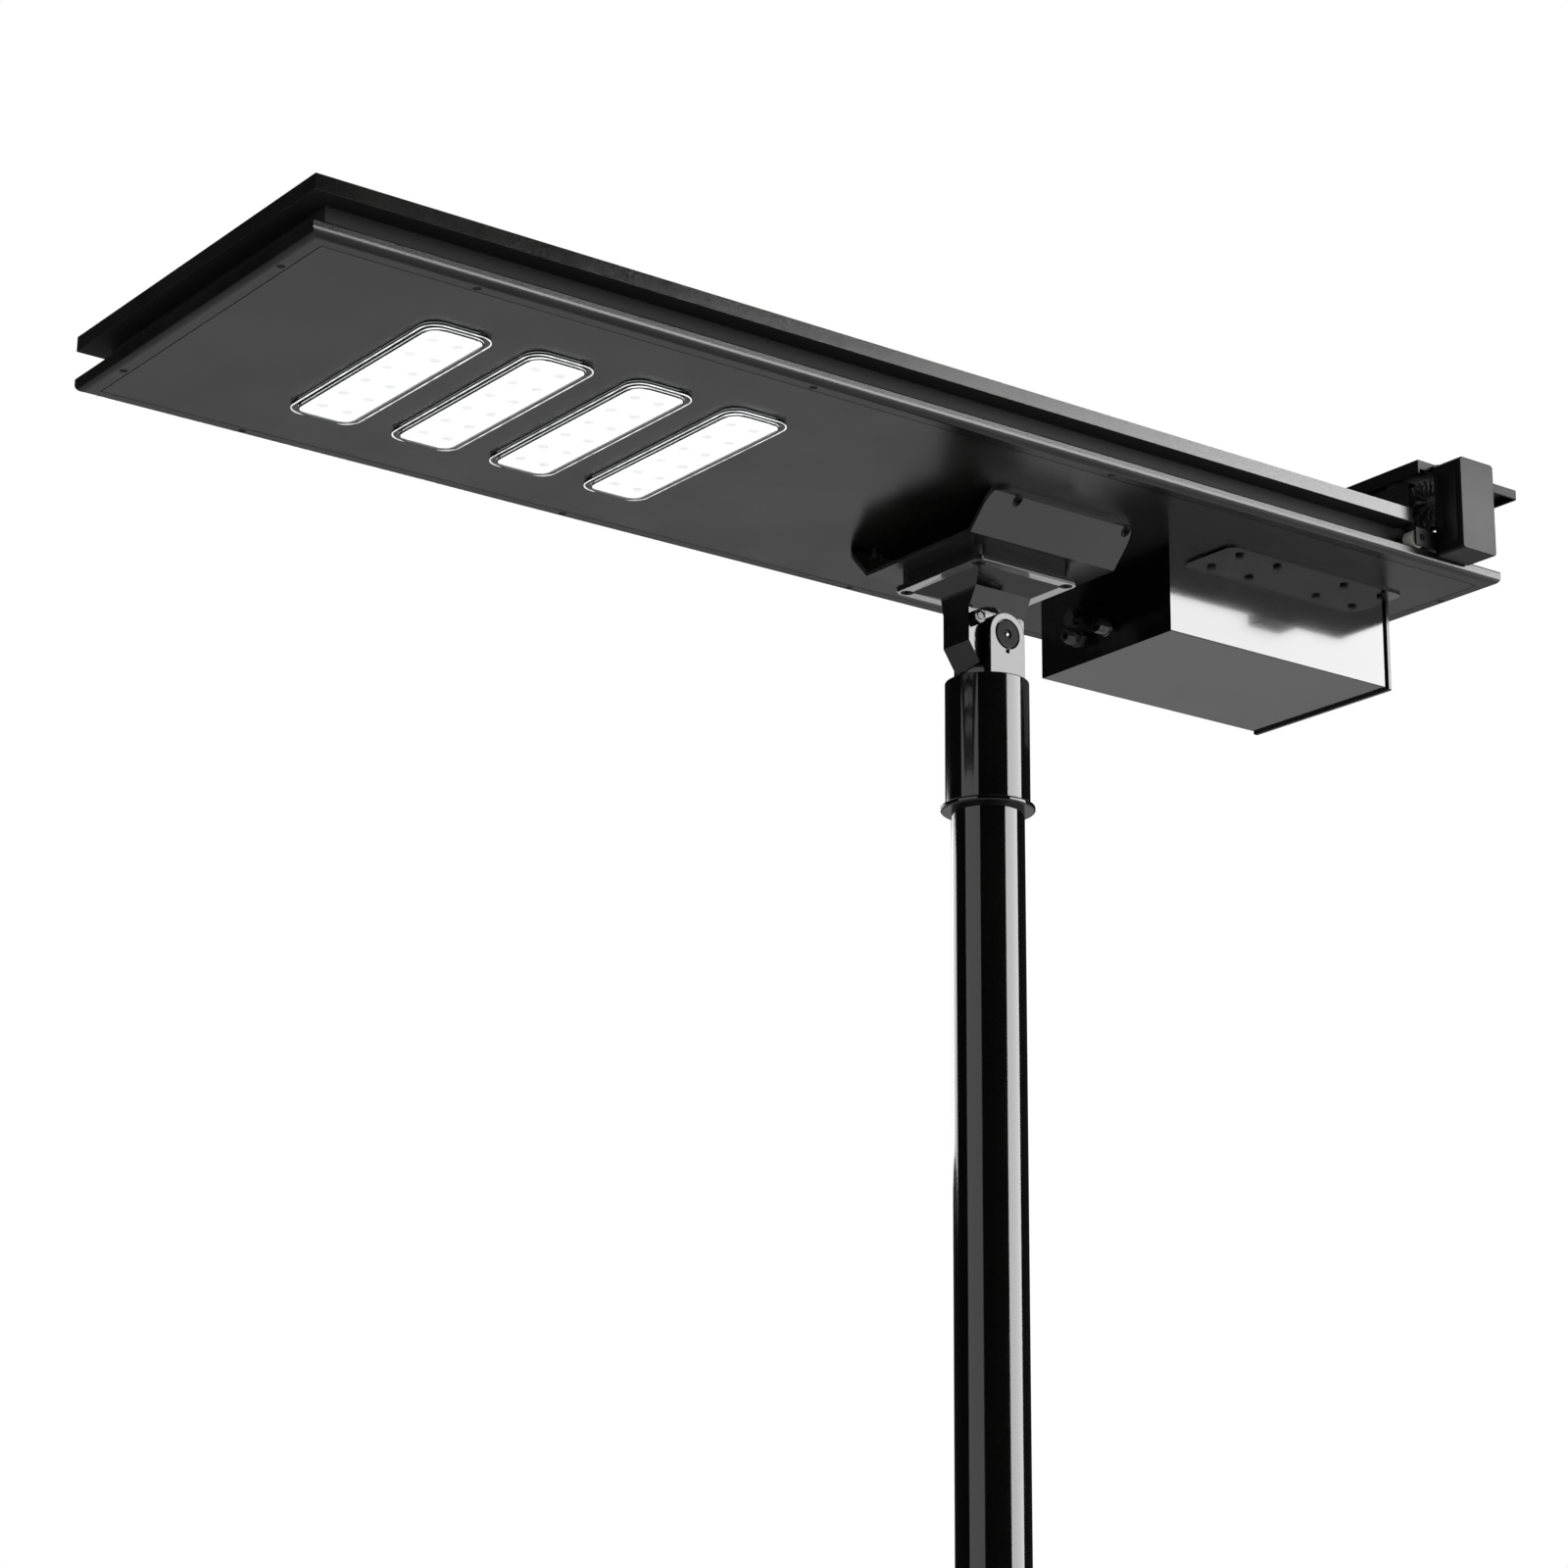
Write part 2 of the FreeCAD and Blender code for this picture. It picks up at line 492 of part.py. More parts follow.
def make_hat_bracket():
    """A bent sheet: flat web, two sloping wings and narrow flanges under the head.

    A boss behind each of the four holes in the wings gives its screw a flat seat.
    """
    half = [
        ("flange_half", "underside"),
        ("flange_half", "underside - sheet"),
        ("wing_half", "underside - sheet"),
        ("web_half", "underside - web_low"),
    ]
    inner = [
        ("web_half - slope_in", "underside - web_low + sheet"),
        ("wing_half - slope_in", "underside"),
    ]
    corners = half + [("-(" + y + ")", z) for y, z in reversed(half)]
    corners += [("-(" + y + ")", z) for y, z in reversed(inner)] + inner
    sheet = profile("hat_sheet", "YZ", corners, "-web_left", "web_right")
    plan = box("hat_plan", ("-web_left", "web_right"), ("-flange_half", "flange_half"),
               ("underside - web_low - 1", "underside + 1"))
    plan = rounded("hat_plan_round", plan, "z", "bracket_corner")
    filled = profile("hat_fill", "YZ", half + [("-(" + y + ")", z) for y, z in reversed(half)],
                     "-web_left", "web_right")
    holes = []
    bosses = []
    bolts = []
    for number, (x, y) in enumerate(wing_bolts()):
        seat = "underside - wing_seat"
        low = seat + " - wing_head_high"
        web = "underside - web_low"
        bosses.append(rod(f"wing_boss_{number}", "wing_boss", "z", web, "underside", (x, y)))
        holes.append(rod(f"wing_hole_{number}", "wing_bolt_shank", "z", web, "underside + 1", (x, y)))
        holes.append(rod(f"wing_seat_{number}", "wing_bolt_head + head_slack", "z", web, seat, (x, y)))
        head = rod(f"wing_head_{number}", "wing_bolt_head", "z", low, seat, (x, y))
        shank = rod(f"wing_shank_{number}", "wing_bolt_shank", "z", low, "underside + base_thick", (x, y))
        socket = hexagon(f"wing_socket_{number}", "wing_bolt_head / 2", "z", low + " - 1",
                         low + " + socket_deep", (x, y))
        bolts.append(cut(f"wing_bolt_{number}", fuse(f"wing_{number}", head, shank), socket))
    for number, (x, y) in enumerate(corners_of("plate_bolt", "plate_bolt")):
        holes.append(rod(f"web_hole_{number}", "plate_hole", "z", "underside - web_low - 1",
                         "underside - web_low + sheet + 1", (x, y)))
    backed = fuse("hat_backed", sheet, common("hat_bosses", filled, group("hat_boss_group", *bosses)))
    node(cut("hat_cut", common("hat_shape", backed, plan), *holes), "hat_bracket")
    node(group("wing_group", *bolts), "bracket_bolts")


def wing_bolts():
    """The four bolt places in the bracket's flanges."""
    across = ("-wing_bolt_y", "wing_bolt_y")
    return [(x, y) for x in ("-wing_bolt_left", "wing_bolt_right") for y in across]


# ---------------------------------------------------------------- head tray and panel frame

def framed(name, section, left, right, low, high, rounds):
    """Four mitred lengths of one section round the head, from left to right.

    section lists (inward distance, height) pairs; rounds lists the size and the height of each
    outer edge to round.
    """
    reach = "mitre_reach"
    half = SIZES["head_half"]
    sides = []
    for side, sign in (("near", "-"), ("far", "")):
        corners = [(f"{sign}(head_half - ({inward}))", up) for inward, up in section]
        bar = profile(f"{name}_{side}_bar", "YZ", corners, left, right)
        for number, (size, height) in enumerate(rounds):
            bar = rounded(f"{name}_{side}_round_{number}", bar, "x", size,
                          lambda spot, z=height: abs(abs(spot.y) - half) < 0.1 and abs(spot.z - z) < 0.1)
        plan = profile(f"{name}_{side}_plan", "XY", [
            (left, f"{sign}head_half"),
            (right, f"{sign}head_half"),
            (f"({right}) - ({reach})", f"{sign}(head_half - ({reach}))"),
            (f"({left}) + {reach}", f"{sign}(head_half - ({reach}))"),
        ], low, high)
        sides.append(common(f"{name}_{side}", bar, plan))
    for side, outer, sign in (("left", left, "+"), ("right", right, "-")):
        corners = [(f"({outer}) {sign} ({inward})", up) for inward, up in section]
        bar = profile(f"{name}_{side}_bar", "XZ", corners, "-head_half", "head_half")
        for number, (size, height) in enumerate(rounds):
            bar = rounded(f"{name}_{side}_round_{number}", bar, "y", size,
                          lambda spot, z=height, x=bar_end(outer):
                          max(abs(spot.x - x), abs(spot.z - z)) < 0.1)
        plan = profile(f"{name}_{side}_plan", "XY", [
            (outer, "-head_half"),
            (f"({outer}) {sign} ({reach})", f"-(head_half - ({reach}))"),
            (f"({outer}) {sign} ({reach})", f"head_half - ({reach})"),
            (outer, "head_half"),
        ], low, high)
        sides.append(common(f"{name}_{side}", bar, plan))
    return sides


def bar_end(outer):
    """The X of an end of the head, from its expression."""
    return -SIZES[outer[1:]] if outer.startswith("-") else SIZES[outer]


def make_tray():
    """Mitred rails with a rounded lower lip and a set-back wall, the bottom plate and the border screws."""
    section = [
        ("0", "underside"),
        ("0", "underside + lip_top"),
        ("groove_deep", "underside + lip_top"),
        ("groove_deep", "underside + wall_top"),
        ("wall_in", "underside + wall_top"),
        ("wall_in", "underside + lip_top - rail_sheet"),
        ("rail_sheet", "underside + lip_top - rail_sheet"),
        ("rail_sheet", "underside + ledge_top"),
        ("ledge_in", "underside + ledge_top"),
        ("ledge_in", "underside + ledge_low"),
        ("seam_in", "underside + ledge_low"),
        ("seam_in", "underside"),
    ]
    low = SIZES["underside"]
    rounds = [("lip_round", low), ("lip_edge", low + SIZES["lip_top"])]
    rails = framed("rail", section, "-head_left", "head_right", "underside - 1",
                   "underside + wall_top + 1", rounds)
    drilled = [cut(f"rail_drilled_{number}", rail, *border_screw_rods(number)) for number,
               rail in enumerate(rails)]
    node(group("rail_group", *drilled), "tray_rails")
    plate = box("base_block", ("-head_left + plate_in", "head_right - plate_in"),
                ("-head_half + plate_in", "head_half - plate_in"), ("underside",
                                                                    "underside + base_thick"))
    holes = [
        box(f"led_window_{number}", (f"-led_first + led_pitch * {number} - window_half_x",
                                     f"-led_first + led_pitch * {number} + window_half_x"),
            ("-window_half_y", "window_half_y"), ("underside - 1", "underside + base_thick + 1"))
        for number in range(4)
    ]
    for number, (x, y) in enumerate(wing_bolts()):
        holes.append(rod(f"base_hole_{number}", "wing_bolt_shank", "z", "underside - 1",
                         "underside + base_thick + 1", (x, y)))
    for number, (x, y) in enumerate(tab_screws()):
        holes.append(rod(f"base_tap_{number}", "tab_hole", "z", "underside - 1",
                         "underside + base_thick + 1", (x, y)))
    node(cut("base_cut", plate, *holes), "base_plate")
    make_border_screws()


def border_spots():
    """Screw places on the lower lip's border: near rail, far rail, left rail, right rail."""
    along = [f"border_step * {step} - border_first" for step in range(4)]
    near = [(x, "-head_half + screw_in") for x in along]
    far = [(x, "head_half - screw_in") for x in along]
    left = [("-head_left + screw_in", y) for y in ("-end_screw_y", "end_screw_y")]
    right = [("head_right - screw_in", y) for y in ("-end_screw_y", "end_screw_y")]
    return [near, far, left, right]


def border_screw_rods(rail):
    """Clearance for one rail's screws: the head's seat and the shank's hole."""
    tools = []
    for number, (x, y) in enumerate(border_spots()[rail]):
        name = f"border_{rail}_{number}"
        tools.append(rod(name + "_seat", "screw_head + head_slack", "z", "underside - 1",
                         "underside + screw_high", (x, y)))
        tools.append(rod(name + "_hole", "screw_shank", "z", "underside", "underside + screw_up", (x, y)))
    return tools


def make_border_screws():
    """Small pan screws, their heads sunk in the border."""
    screws = []
    for rail, spots in enumerate(border_spots()):
        for number, (x, y) in enumerate(spots):
            name = f"small_screw_{rail}_{number}"
            head = rod(name + "_head", "screw_head", "z", "underside + 0.2", "underside + screw_high",
                       (x, y))
            shank = rod(name + "_shank", "screw_shank", "z", "underside + 0.2", "underside + screw_up",
                        (x, y))
            screws.append(fuse(name, head, shank))
    node(group("small_screw_group", *screws), "border_screws")


def make_panel():
    """The solar panel: mitred frame, glass, cells, junction box, and the parking deck beside it."""
    section = [
        ("0", "underside + wall_top"),
        ("0", "underside + panel_top"),
        ("rim_wide", "underside + panel_top"),
        ("rim_wide", "underside + glass_low"),
        ("rim_in", "underside + glass_low"),
        ("rim_in", "underside + flange_top"),
        ("ledge_in", "underside + flange_top"),
        ("ledge_in", "underside + wall_top"),
    ]
    bars = framed("panel", section, "-head_left", "panel_right", "underside", "underside + panel_top + 1",
                  [])
    node(group("panel_group", *bars), "panel_frame")
    layers = (("pv_glass", "glass_in", "glass_low", "glass_thick"),
              ("pv_cells", "cells_in", "cells_low", "cells_thick"))
    for label, inset, low, thick in layers:
        sheet = box(label + "_sheet", (f"-head_left + {inset}", f"panel_right - {inset}"),
                    (f"-head_half + {inset}", f"head_half - {inset}"),
                    (f"underside + {low}", f"underside + {low} + {thick}"))
        node(sheet, label)
    node(box("jbox", ("-jbox_left", "-jbox_right"), ("jbox_near", "jbox_far"),
             ("underside + jbox_low", "underside + cells_low")), "junction_box")
    side = "head_half - groove_deep"
    node(box("deck", ("panel_right + deck_gap", "head_right - groove_deep"), (f"-({side})", side),
             ("underside + wall_top", "underside + wall_top + deck_thick")), "bay_deck")


# ---------------------------------------------------------------- LED modules

def lens_block(name, grow, low, high, corner):
    """A rounded block centred on the origin, for a lens or its seal."""
    span_x = (f"-lens_half_x - ({grow})", f"lens_half_x + ({grow})")
    span_y = (f"-lens_half_y - ({grow})", f"lens_half_y + ({grow})")
    block = box(name + "_block", span_x, span_y, (f"underside - ({low})", f"underside - ({high})"))
    return rounded(name, block, "z", corner)


def shifted(name, solid, x):
    """A copy of a solid moved along X."""
    holder = DOC.addObject("Part::Compound", name)
    holder.Links = [solid]
    place(holder, x=x)
    return holder


def make_led_modules():
    """Four lenses on seals, their boards in the windows, and one plate that spreads the heat."""
    rim = lens_block("lens_rim", "0", "lens_high + lens_step", "lens_high", "lens_corner")
    dome = lens_block("lens_dome", "-lens_lip", "lens_low", "lens_high", "lens_corner")
    hollow = lens_block("lens_hollow", "-(lens_lip + lens_wall)", "lens_low - lens_wall", "lens_high - 1",
                        "lens_corner")
    lens = cut("lens_cut", fuse("lens_solid", rim, dome), hollow)
    outer = lens_block("seal_outer", "-1", "lens_high", "0", "lens_corner")
    inner = lens_block("seal_inner", "-(lens_lip + lens_wall)", "lens_high + 1", "-1", "lens_corner")
    seal = cut("seal_cut", outer, inner)
    board = box("board", ("-window_half_x + board_gap", "window_half_x - board_gap"),
                ("-window_half_y + board_gap", "window_half_y - board_gap"),
                ("underside + board_low", "underside + spreader_low"))
    seals = []
    boards = []
    for number in range(4):
        x = f"-led_first + led_pitch * {number}"
        node(shifted(f"lens_{number}", lens, x), f"led_lens_{number + 1}")
        seals.append(shifted(f"seal_{number}", seal, x))
        boards.append(shifted(f"board_{number}", board, x))
    node(group("seal_group", *seals), "led_gaskets")
    node(group("board_group", *boards), "led_boards")
    node(box("spreader", ("-spreader_left", "-spreader_right"), ("-spreader_half", "spreader_half"),
             ("underside + spreader_low", "underside + spreader_high")), "heat_spreader")


# ---------------------------------------------------------------- battery box

def tab_screws():
    """The eight screws through the battery box's flanges."""
    across = ("-tab_screw_y", "tab_screw_y")
    return [(x, y) for x in ("tab_screw_a", "tab_screw_b", "tab_screw_c", "tab_screw_d") for y in across]


def make_battery_box():
    """The case with its flanges, its end cap, what it holds, and its screws."""
    outer = box("case_outer", ("box_left", "box_right"), ("-box_half", "box_half"),
                ("underside - box_low", "underside"))
    outer = rounded("case_long_edges", outer, "x", "edge_round",
                    lambda spot: spot.z < SIZES["underside"] - 1)
    tabs = box("case_tabs", ("tab_left", "tab_right"), ("-tab_half", "tab_half"),
               ("underside - box_wall", "underside"))
    tabs = rounded("case_tabs_round", tabs, "z", "tab_corner")
    inner = box("case_inner", ("box_left + box_wall", "box_right + 1"),
                ("-box_half + box_wall", "box_half - box_wall"),
                ("underside - box_low + box_wall", "underside + 1"))
    tools = [inner]
    wall = ("box_left - 1", "box_left + box_wall + 1")
    tools.append(rod("gland_way", "gland_hole", "x", *wall, ("gland_y", "underside - gland_z")))
    tools.append(rod("plug_way", "plug_hole", "x", *wall, ("plug_y", "underside - plug_z")))
    tools.append(rod("button_way", "bezel_bore", "x", *wall, ("button_y", "underside - button_z")))
    for number, spot in enumerate(tab_screws()):
        tools.append(rod(f"tab_hole_{number}", "tab_hole", "z", "underside - box_wall - 1",
                         "underside + 1", spot))
    node(cut("case_cut", fuse("case_solid", outer, tabs), *tools), "battery_case")
    cap = box("cap_block", ("box_right", "box_right + cap_thin"), ("-cap_half", "cap_half"),
              ("underside - cap_low", "underside - cap_gap"))
    middle = SIZES["underside"] - SIZES["cap_low"] / 2
    node(rounded("cap_round", cap, "x", "lip_edge", lambda spot: spot.z < middle), "battery_end_cap")
    node(box("pack", ("pack_left", "pack_right"), ("-pack_half", "pack_half"),
             ("underside - pack_low", "underside - pack_high")), "battery_pack")
    node(box("controller", ("board_left", "board_right"), ("-board_half", "board_half"),
             ("underside - board_deep", "underside - board_high")), "charge_controller")
    screws = []
    for number, spot in enumerate(tab_screws()):
        low = "underside - box_wall - tab_screw_high"
        head = rod(f"tab_head_{number}", "tab_screw_head", "z", low, "underside - box_wall", spot)
        shank = rod(f"tab_shank_{number}", "tab_hole", "z", low, "underside + base_thick", spot)
        screws.append(fuse(f"tab_screw_{number}", head, shank))
    node(group("tab_screw_group", *screws), "battery_screws")


def make_box_fittings():
    """On the case's left wall: a cable gland, a round socket, and the power button in its bezel."""
    gland = ("gland_y", "underside - gland_z")
    nut = hexagon("gland_hex", "gland_nut", "x", "box_left - gland_flat", "box_left", gland)
    dome = rod("gland_dome", "gland_cap", "x", "box_left - gland_long", "box_left - gland_flat", gland)
    neck = rod("gland_neck", "gland_hole", "x", "box_left - gland_flat", "box_left + neck_in", gland)
    way = rod("gland_through", "gland_bore", "x", "box_left - gland_long - 1", "box_left + neck_in + 1",
              gland)
    node(cut("gland_cut", fuse("gland_solid", nut, dome, neck), way), "cable_gland")
    plug = ("plug_y", "underside - plug_z")
    body = rod("plug_body", "plug_radius", "x", "box_left - plug_long", "box_left", plug)
    neck = rod("plug_neck", "plug_hole", "x", "box_left - 1", "box_left + plug_in", plug)
    cup = rod("plug_cup", "plug_cup", "x", "box_left - plug_long - 1", "box_left - plug_long + plug_deep",
              plug)
    node(cut("plug_cut", fuse("plug_solid", body, neck), cup), "charge_socket")
    spot = ("button_y", "underside - button_z")
    ring = rod("bezel_ring", "bezel_radius", "x", "box_left - bezel_thick", "box_left", spot)
    hole = rod("bezel_hole", "bezel_bore", "x", "box_left - bezel_thick - 1", "box_left + 1", spot)
    node(cut("bezel_cut", ring, hole), "button_bezel")
    node(rod("button_rod", "button_radius", "x", "box_left - button_out", "box_left + button_in", spot),
         "power_button")


# ---------------------------------------------------------------- brush unit

def make_hood():
    """A folded cover over the brush with a deeper skirt on its left."""
    span_y = ("-hood_half", "hood_half")
    shell = box("hood_block", ("hood_left", "hood_right"), span_y,
                ("underside + lip_low", "underside + hood_top"))
    shell = rounded("hood_round", shell, "z", "hood_round", lambda spot: spot.x > SIZES["hood_right"] - 1)
    skirt = box("hood_skirt", ("hood_left", "hood_left + hood_sheet"), span_y,
                ("underside + skirt_low", "underside + hood_top"))
    inside = box("hood_inside", ("hood_left + hood_sheet", "hood_right - hood_sheet"),
                 ("-hood_half + hood_sheet", "hood_half - hood_sheet"),
                 ("underside + lip_low - 1", "underside + hood_top - hood_sheet"))
    notches = [
        box(f"hood_notch_{side}", ("tongue_left - 1", "tongue_right + 1"), (low, high),
            ("underside + lip_low - 1", "underside + hood_top - hood_sheet"))
        for side, low, high in (("near", "-hood_half - 1", "-hood_half + hood_notch"),
                                ("far", "hood_half - hood_notch", "hood_half + 1"))
    ]
    node(cut("hood_cut", fuse("hood_solid", shell, skirt), inside, *notches), "brush_hood")


def end_box(name, out, inner, sign):
    """One end housing: a tray open to the outside, a tongue under the hood and an arm for a wheel."""
    faces = (f"-{out}", f"-{inner}") if sign < 0 else (inner, out)
    back = (f"-{inner} - drive_wall", f"-{inner}") if sign < 0 else (inner, f"{inner} + drive_wall")
    block = box(name + "_block", ("drive_left", "drive_right"), faces,
                ("underside + drive_low", "underside + drive_top"))
    block = rounded(name + "_round", block, "y", "drive_round")
    tongue_y = (f"-{inner} - 1", "-tongue_in") if sign < 0 else ("tongue_in", f"{inner} + 1")
    tongue = box(name + "_tongue", ("tongue_left", "tongue_right"), tongue_y,
                 ("underside + tongue_low", "underside + hood_top - hood_sheet"))
    root = box(name + "_root", ("tongue_left", "tongue_right"), back,
               ("underside + drive_top - drive_wall", "underside + hood_top - hood_sheet"))
    arm = box(name + "_arm", ("arm_left", "drive_left + drive_wall"), back,
              ("underside + arm_low", "underside + arm_top"))
    solid = fuse(name + "_solid", block, tongue, root, arm)
    hollow_y = (f"-{out} - 1", f"-{inner} - drive_wall") if sign < 0 else (f"{inner} + drive_wall",
                                                                           f"{out} - drive_wall")
    hollow = box(name + "_hollow", ("drive_left + drive_wall", "drive_right - drive_wall"), hollow_y,
                 ("underside + drive_low + drive_wall", "underside + drive_top - drive_wall"))
    bearing = rod(name + "_seat", "bearing_radius", "y", back[0] + " - 1", back[1] + " + 1",
                  ("brush_x", "underside + brush_z"))
    pin_x = ["guide_x"] if sign < 0 else ["guide_x", "wheel_x"]
    holes = [hollow, bearing]
    for number, x in enumerate(pin_x):
        holes.append(rod(f"{name}_pin_hole_{number}", "axle_radius", "y", back[0] + " - 1",
                         back[1] + " + 1",
                         (x, "underside + wheel_z")))
    if sign < 0:
        holes.append(rod(name + "_axle_hole", "axle_radius + axle_slack", "y", back[0] + " - 1",
                         back[1] + " + 1",
                         ("wheel_x", "underside + wheel_z")))
    return cut(name + "_cut", solid, *holes)


def make_housings():
    """The drive housing with its cover and side tab at the near side, the plain housing at the far side."""
    near = end_box("drive_box", "drive_face", "drive_in", -1)
    tab = box("side_tab", ("drive_right - 1", "tab_x"), ("-tab_y_out", "-tab_y_in"),
              ("underside + tab_low", "underside + tab_top"))
    node(fuse("drive_shell", near, tab), "drive_housing")
    cover = box("cover_block", ("drive_left", "drive_right"), ("-drive_out", "-drive_face"),
                ("underside + drive_low", "underside + drive_top"))
    cover = rounded("cover_round", cover, "y", "drive_round")
    node(eased("cover_eased", cover, "edge_round",
               lambda edge: lies_on(edge, "y",
                                    SIZES["drive_out"]) and edge.BoundBox.YMax < 0), "drive_cover")
    node(end_box("idler_box", "idler_out", "drive_in", 1), "idler_housing")


def make_brush():
    """The roller: a shaft, its sleeve of bristles, two bearings, and the gear on its near end."""
    spot = ("brush_x", "underside + brush_z")
    node(rod("core", "core_radius", "y", "-shaft_near", "shaft_far", spot), "brush_shaft")
    outer = rod("bristle_outer", "brush_radius", "y", "-brush_half", "brush_half", spot)
    inner = rod("bristle_inner", "core_radius", "y", "-brush_half - 1", "brush_half + 1", spot)
    node(cut("bristle_cut", outer, inner), "brush_bristles")
    rings = []
    for side, low, high in (("near", "-drive_in - bearing_wide", "-drive_in"),
                            ("far", "drive_in", "drive_in + bearing_wide")):
        ring = rod(f"race_{side}", "bearing_radius", "y", low, high, spot)
        hole = rod(f"race_hole_{side}", "core_radius + axle_slack", "y", low + " - 1", high + " + 1",
                   spot)
        rings.append(cut(f"race_cut_{side}", ring, hole))
    node(group("race_group", *rings), "shaft_bearings")


def spur_gear(name, teeth, bore, spot):
    """A spur gear about Y with a tooth towards +X: a root disc, one tooth, and a polar pattern."""
    module = "gear_module"
    root = f"({teeth} / 2 - tooth_foot) * {module}"
    body = DOC.addObject("PartDesign::Body", name)
    disc = body.newObject("PartDesign::AdditiveCylinder", name + "_disc")
    bind(disc, Radius=root, Height="gear_wide")
    tooth = body.newObject("PartDesign::Pad", name + "_tooth")
    tooth.Profile = outline(body, "XY", [
        (f"{root} - tooth_sink", f"-tooth_base * {module}"),
        (f"({teeth} / 2) * {module}", f"-tooth_middle * {module}"),
        (f"({teeth} / 2 + tooth_out) * {module}", f"-tooth_tip * {module}"),
        (f"({teeth} / 2 + tooth_out) * {module}", f"tooth_tip * {module}"),
        (f"({teeth} / 2) * {module}", f"tooth_middle * {module}"),
        (f"{root} - tooth_sink", f"tooth_base * {module}"),
    ])
    bind(tooth, Length="gear_wide")
    ring = body.newObject("PartDesign::PolarPattern", name + "_ring")
    ring.Originals = [tooth]
    ring.Axis = (tooth.Profile[0], ["N_Axis"])
    ring.Angle = 360
    ring.Occurrences = SIZES[teeth]
    body.Tip = ring
    body.Placement = FreeCAD.Placement(FreeCAD.Vector(), AXES["y"])
    place(body, spot[0], "-gear_out", spot[1])
    if bore is None:
        return body
    hole = rod(name + "_hole", bore, "y", "-gear_out - 1", "-gear_out + gear_wide + 1", spot)
    return cut(name + "_cut", body, hole)


def make_drive():
    """Motor, pinion, and the gears it turns: the brush's above and the drive wheel's below.

    The motor sits where its pinion meshes with the wheel's gear, and the brush's gear fits what is left.
    """
    motor = ("brush_x", "underside + motor_z")
    case = rod("motor_case", "motor_radius", "y", "-motor_out", "-motor_in", motor)
    hole = rod("motor_hole", "motor_shaft + axle_slack", "y", "-shaft_end - 1", "-motor_in + 1", motor)
    node(cut("motor_cut", case, hole), "drive_motor")
    pinion = spur_gear("pinion", "pinion_teeth", None, motor)
    shaft = rod("pinion_shaft", "motor_shaft", "y", "-shaft_end", "-gear_out + 1", motor)
    node(fuse("pinion_solid", pinion, shaft), "motor_pinion")
    node(spur_gear("upper_gear", "brush_teeth", "core_radius", ("brush_x", "underside + brush_z")),
         "brush_gear")
    node(spur_gear("lower_gear", "wheel_teeth", "axle_radius", ("wheel_x", "underside + wheel_z")),
         "wheel_gear")


def roller(name, x, low, high):
    """A plain wheel in the groove."""
    return rod(name, "wheel_radius", "y", low, high, (x, "underside + wheel_z"))


def make_wheels():
    """The drive wheel on its axle, three guide wheels, and the pins that those turn on."""
    wheel = roller("drive_rim", "wheel_x", "-wheel_out", "-wheel_in")
    axle = rod("drive_axle", "axle_radius", "y", "-gear_out - 1", "-wheel_in + 1",
               ("wheel_x", "underside + wheel_z"))
    node(fuse("drive_wheel_solid", wheel, axle), "drive_wheel")
    pins = []
    places = (("guide_x", "-"), ("guide_x", ""), ("wheel_x", ""))
    for number, (x, sign) in enumerate(places, start=1):
        spans = ("wheel_in", "wheel_out", "wheel_in - 1", "drive_in + drive_wall")
        inner, outer, tip, root = [f"{sign}({end})" for end in spans]
        low, high = (outer, inner) if sign else (inner, outer)
        wheel = roller(f"guide_rim_{number}", x, low, high)
        hole = rod(f"guide_hole_{number}", "axle_radius + axle_slack", "y", low + " - 1", high + " + 1",
                   (x, "underside + wheel_z"))
        node(cut(f"guide_cut_{number}", wheel, hole), f"guide_wheel_{number}")
        low, high = (root, tip) if sign else (tip, root)
        pins.append(rod(f"pin_{number}", "axle_radius", "y", low, high, (x, "underside + wheel_z")))
    node(group("pin_group", *pins), "wheel_pins")


def make_wiper():
    """The bar under the hood's skirt, hung from the hood by three straps, and its rubber blade."""
    span = ("-brush_half", "brush_half")
    web = box("wiper_web", ("wiper_left", "wiper_left + wiper_sheet"), span,
              ("underside + wiper_low", "underside + wiper_top"))
    leg = box("wiper_leg", ("wiper_left", "wiper_right"), span,
              ("underside + wiper_top", "underside + wiper_top + wiper_sheet"))
    straps = [
        box(f"hanger_{step + 1}", ("wiper_left", "wiper_left + wiper_sheet"),
            (f"hanger_step * {step} - hanger_half", f"hanger_step * {step} + hanger_half"),
            ("underside + wiper_top", "underside + hood_top - hood_sheet"))
        for step in (-1, 0, 1)
    ]
    node(fuse("wiper_solid", web, leg, *straps), "wiper_bar")
    node(box("blade", ("wiper_left", "wiper_left + blade_thick"), span,
             ("underside + blade_low", "underside + wiper_low")), "wiper_blade")


# ---------------------------------------------------------------- build, check and write

def check_document():
    """Stop if any object failed or any sub-part's shape is missing or broken."""
    DOC.recompute()
    for thing in DOC.Objects:
        if "Invalid" in thing.State or "Error" in thing.State:
            raise RuntimeError(f"{thing.Name} failed: {thing.State}")
    for thing in NODES:
        if thing.Shape.isNull() or not thing.Shape.isValid() or not thing.Shape.Solids:
            raise RuntimeError(f"{thing.Label} has no valid shape")


def write_parts():
    """Write each sub-part's shape under its own name."""
    os.makedirs("parts", exist_ok=True)
    for thing in NODES:
        thing.Shape.exportStep(f"parts/{thing.Label}.step")
        bounds = thing.Shape.BoundBox
        volume = thing.Shape.Volume / 1000
        print(f"{thing.Label:18} solids {len(thing.Shape.Solids):2} volume {volume:9.1f} cm3"
              f"  z {bounds.ZMin:7.1f} to {bounds.ZMax:7.1f}")
    print(len(NODES), "sub-parts")


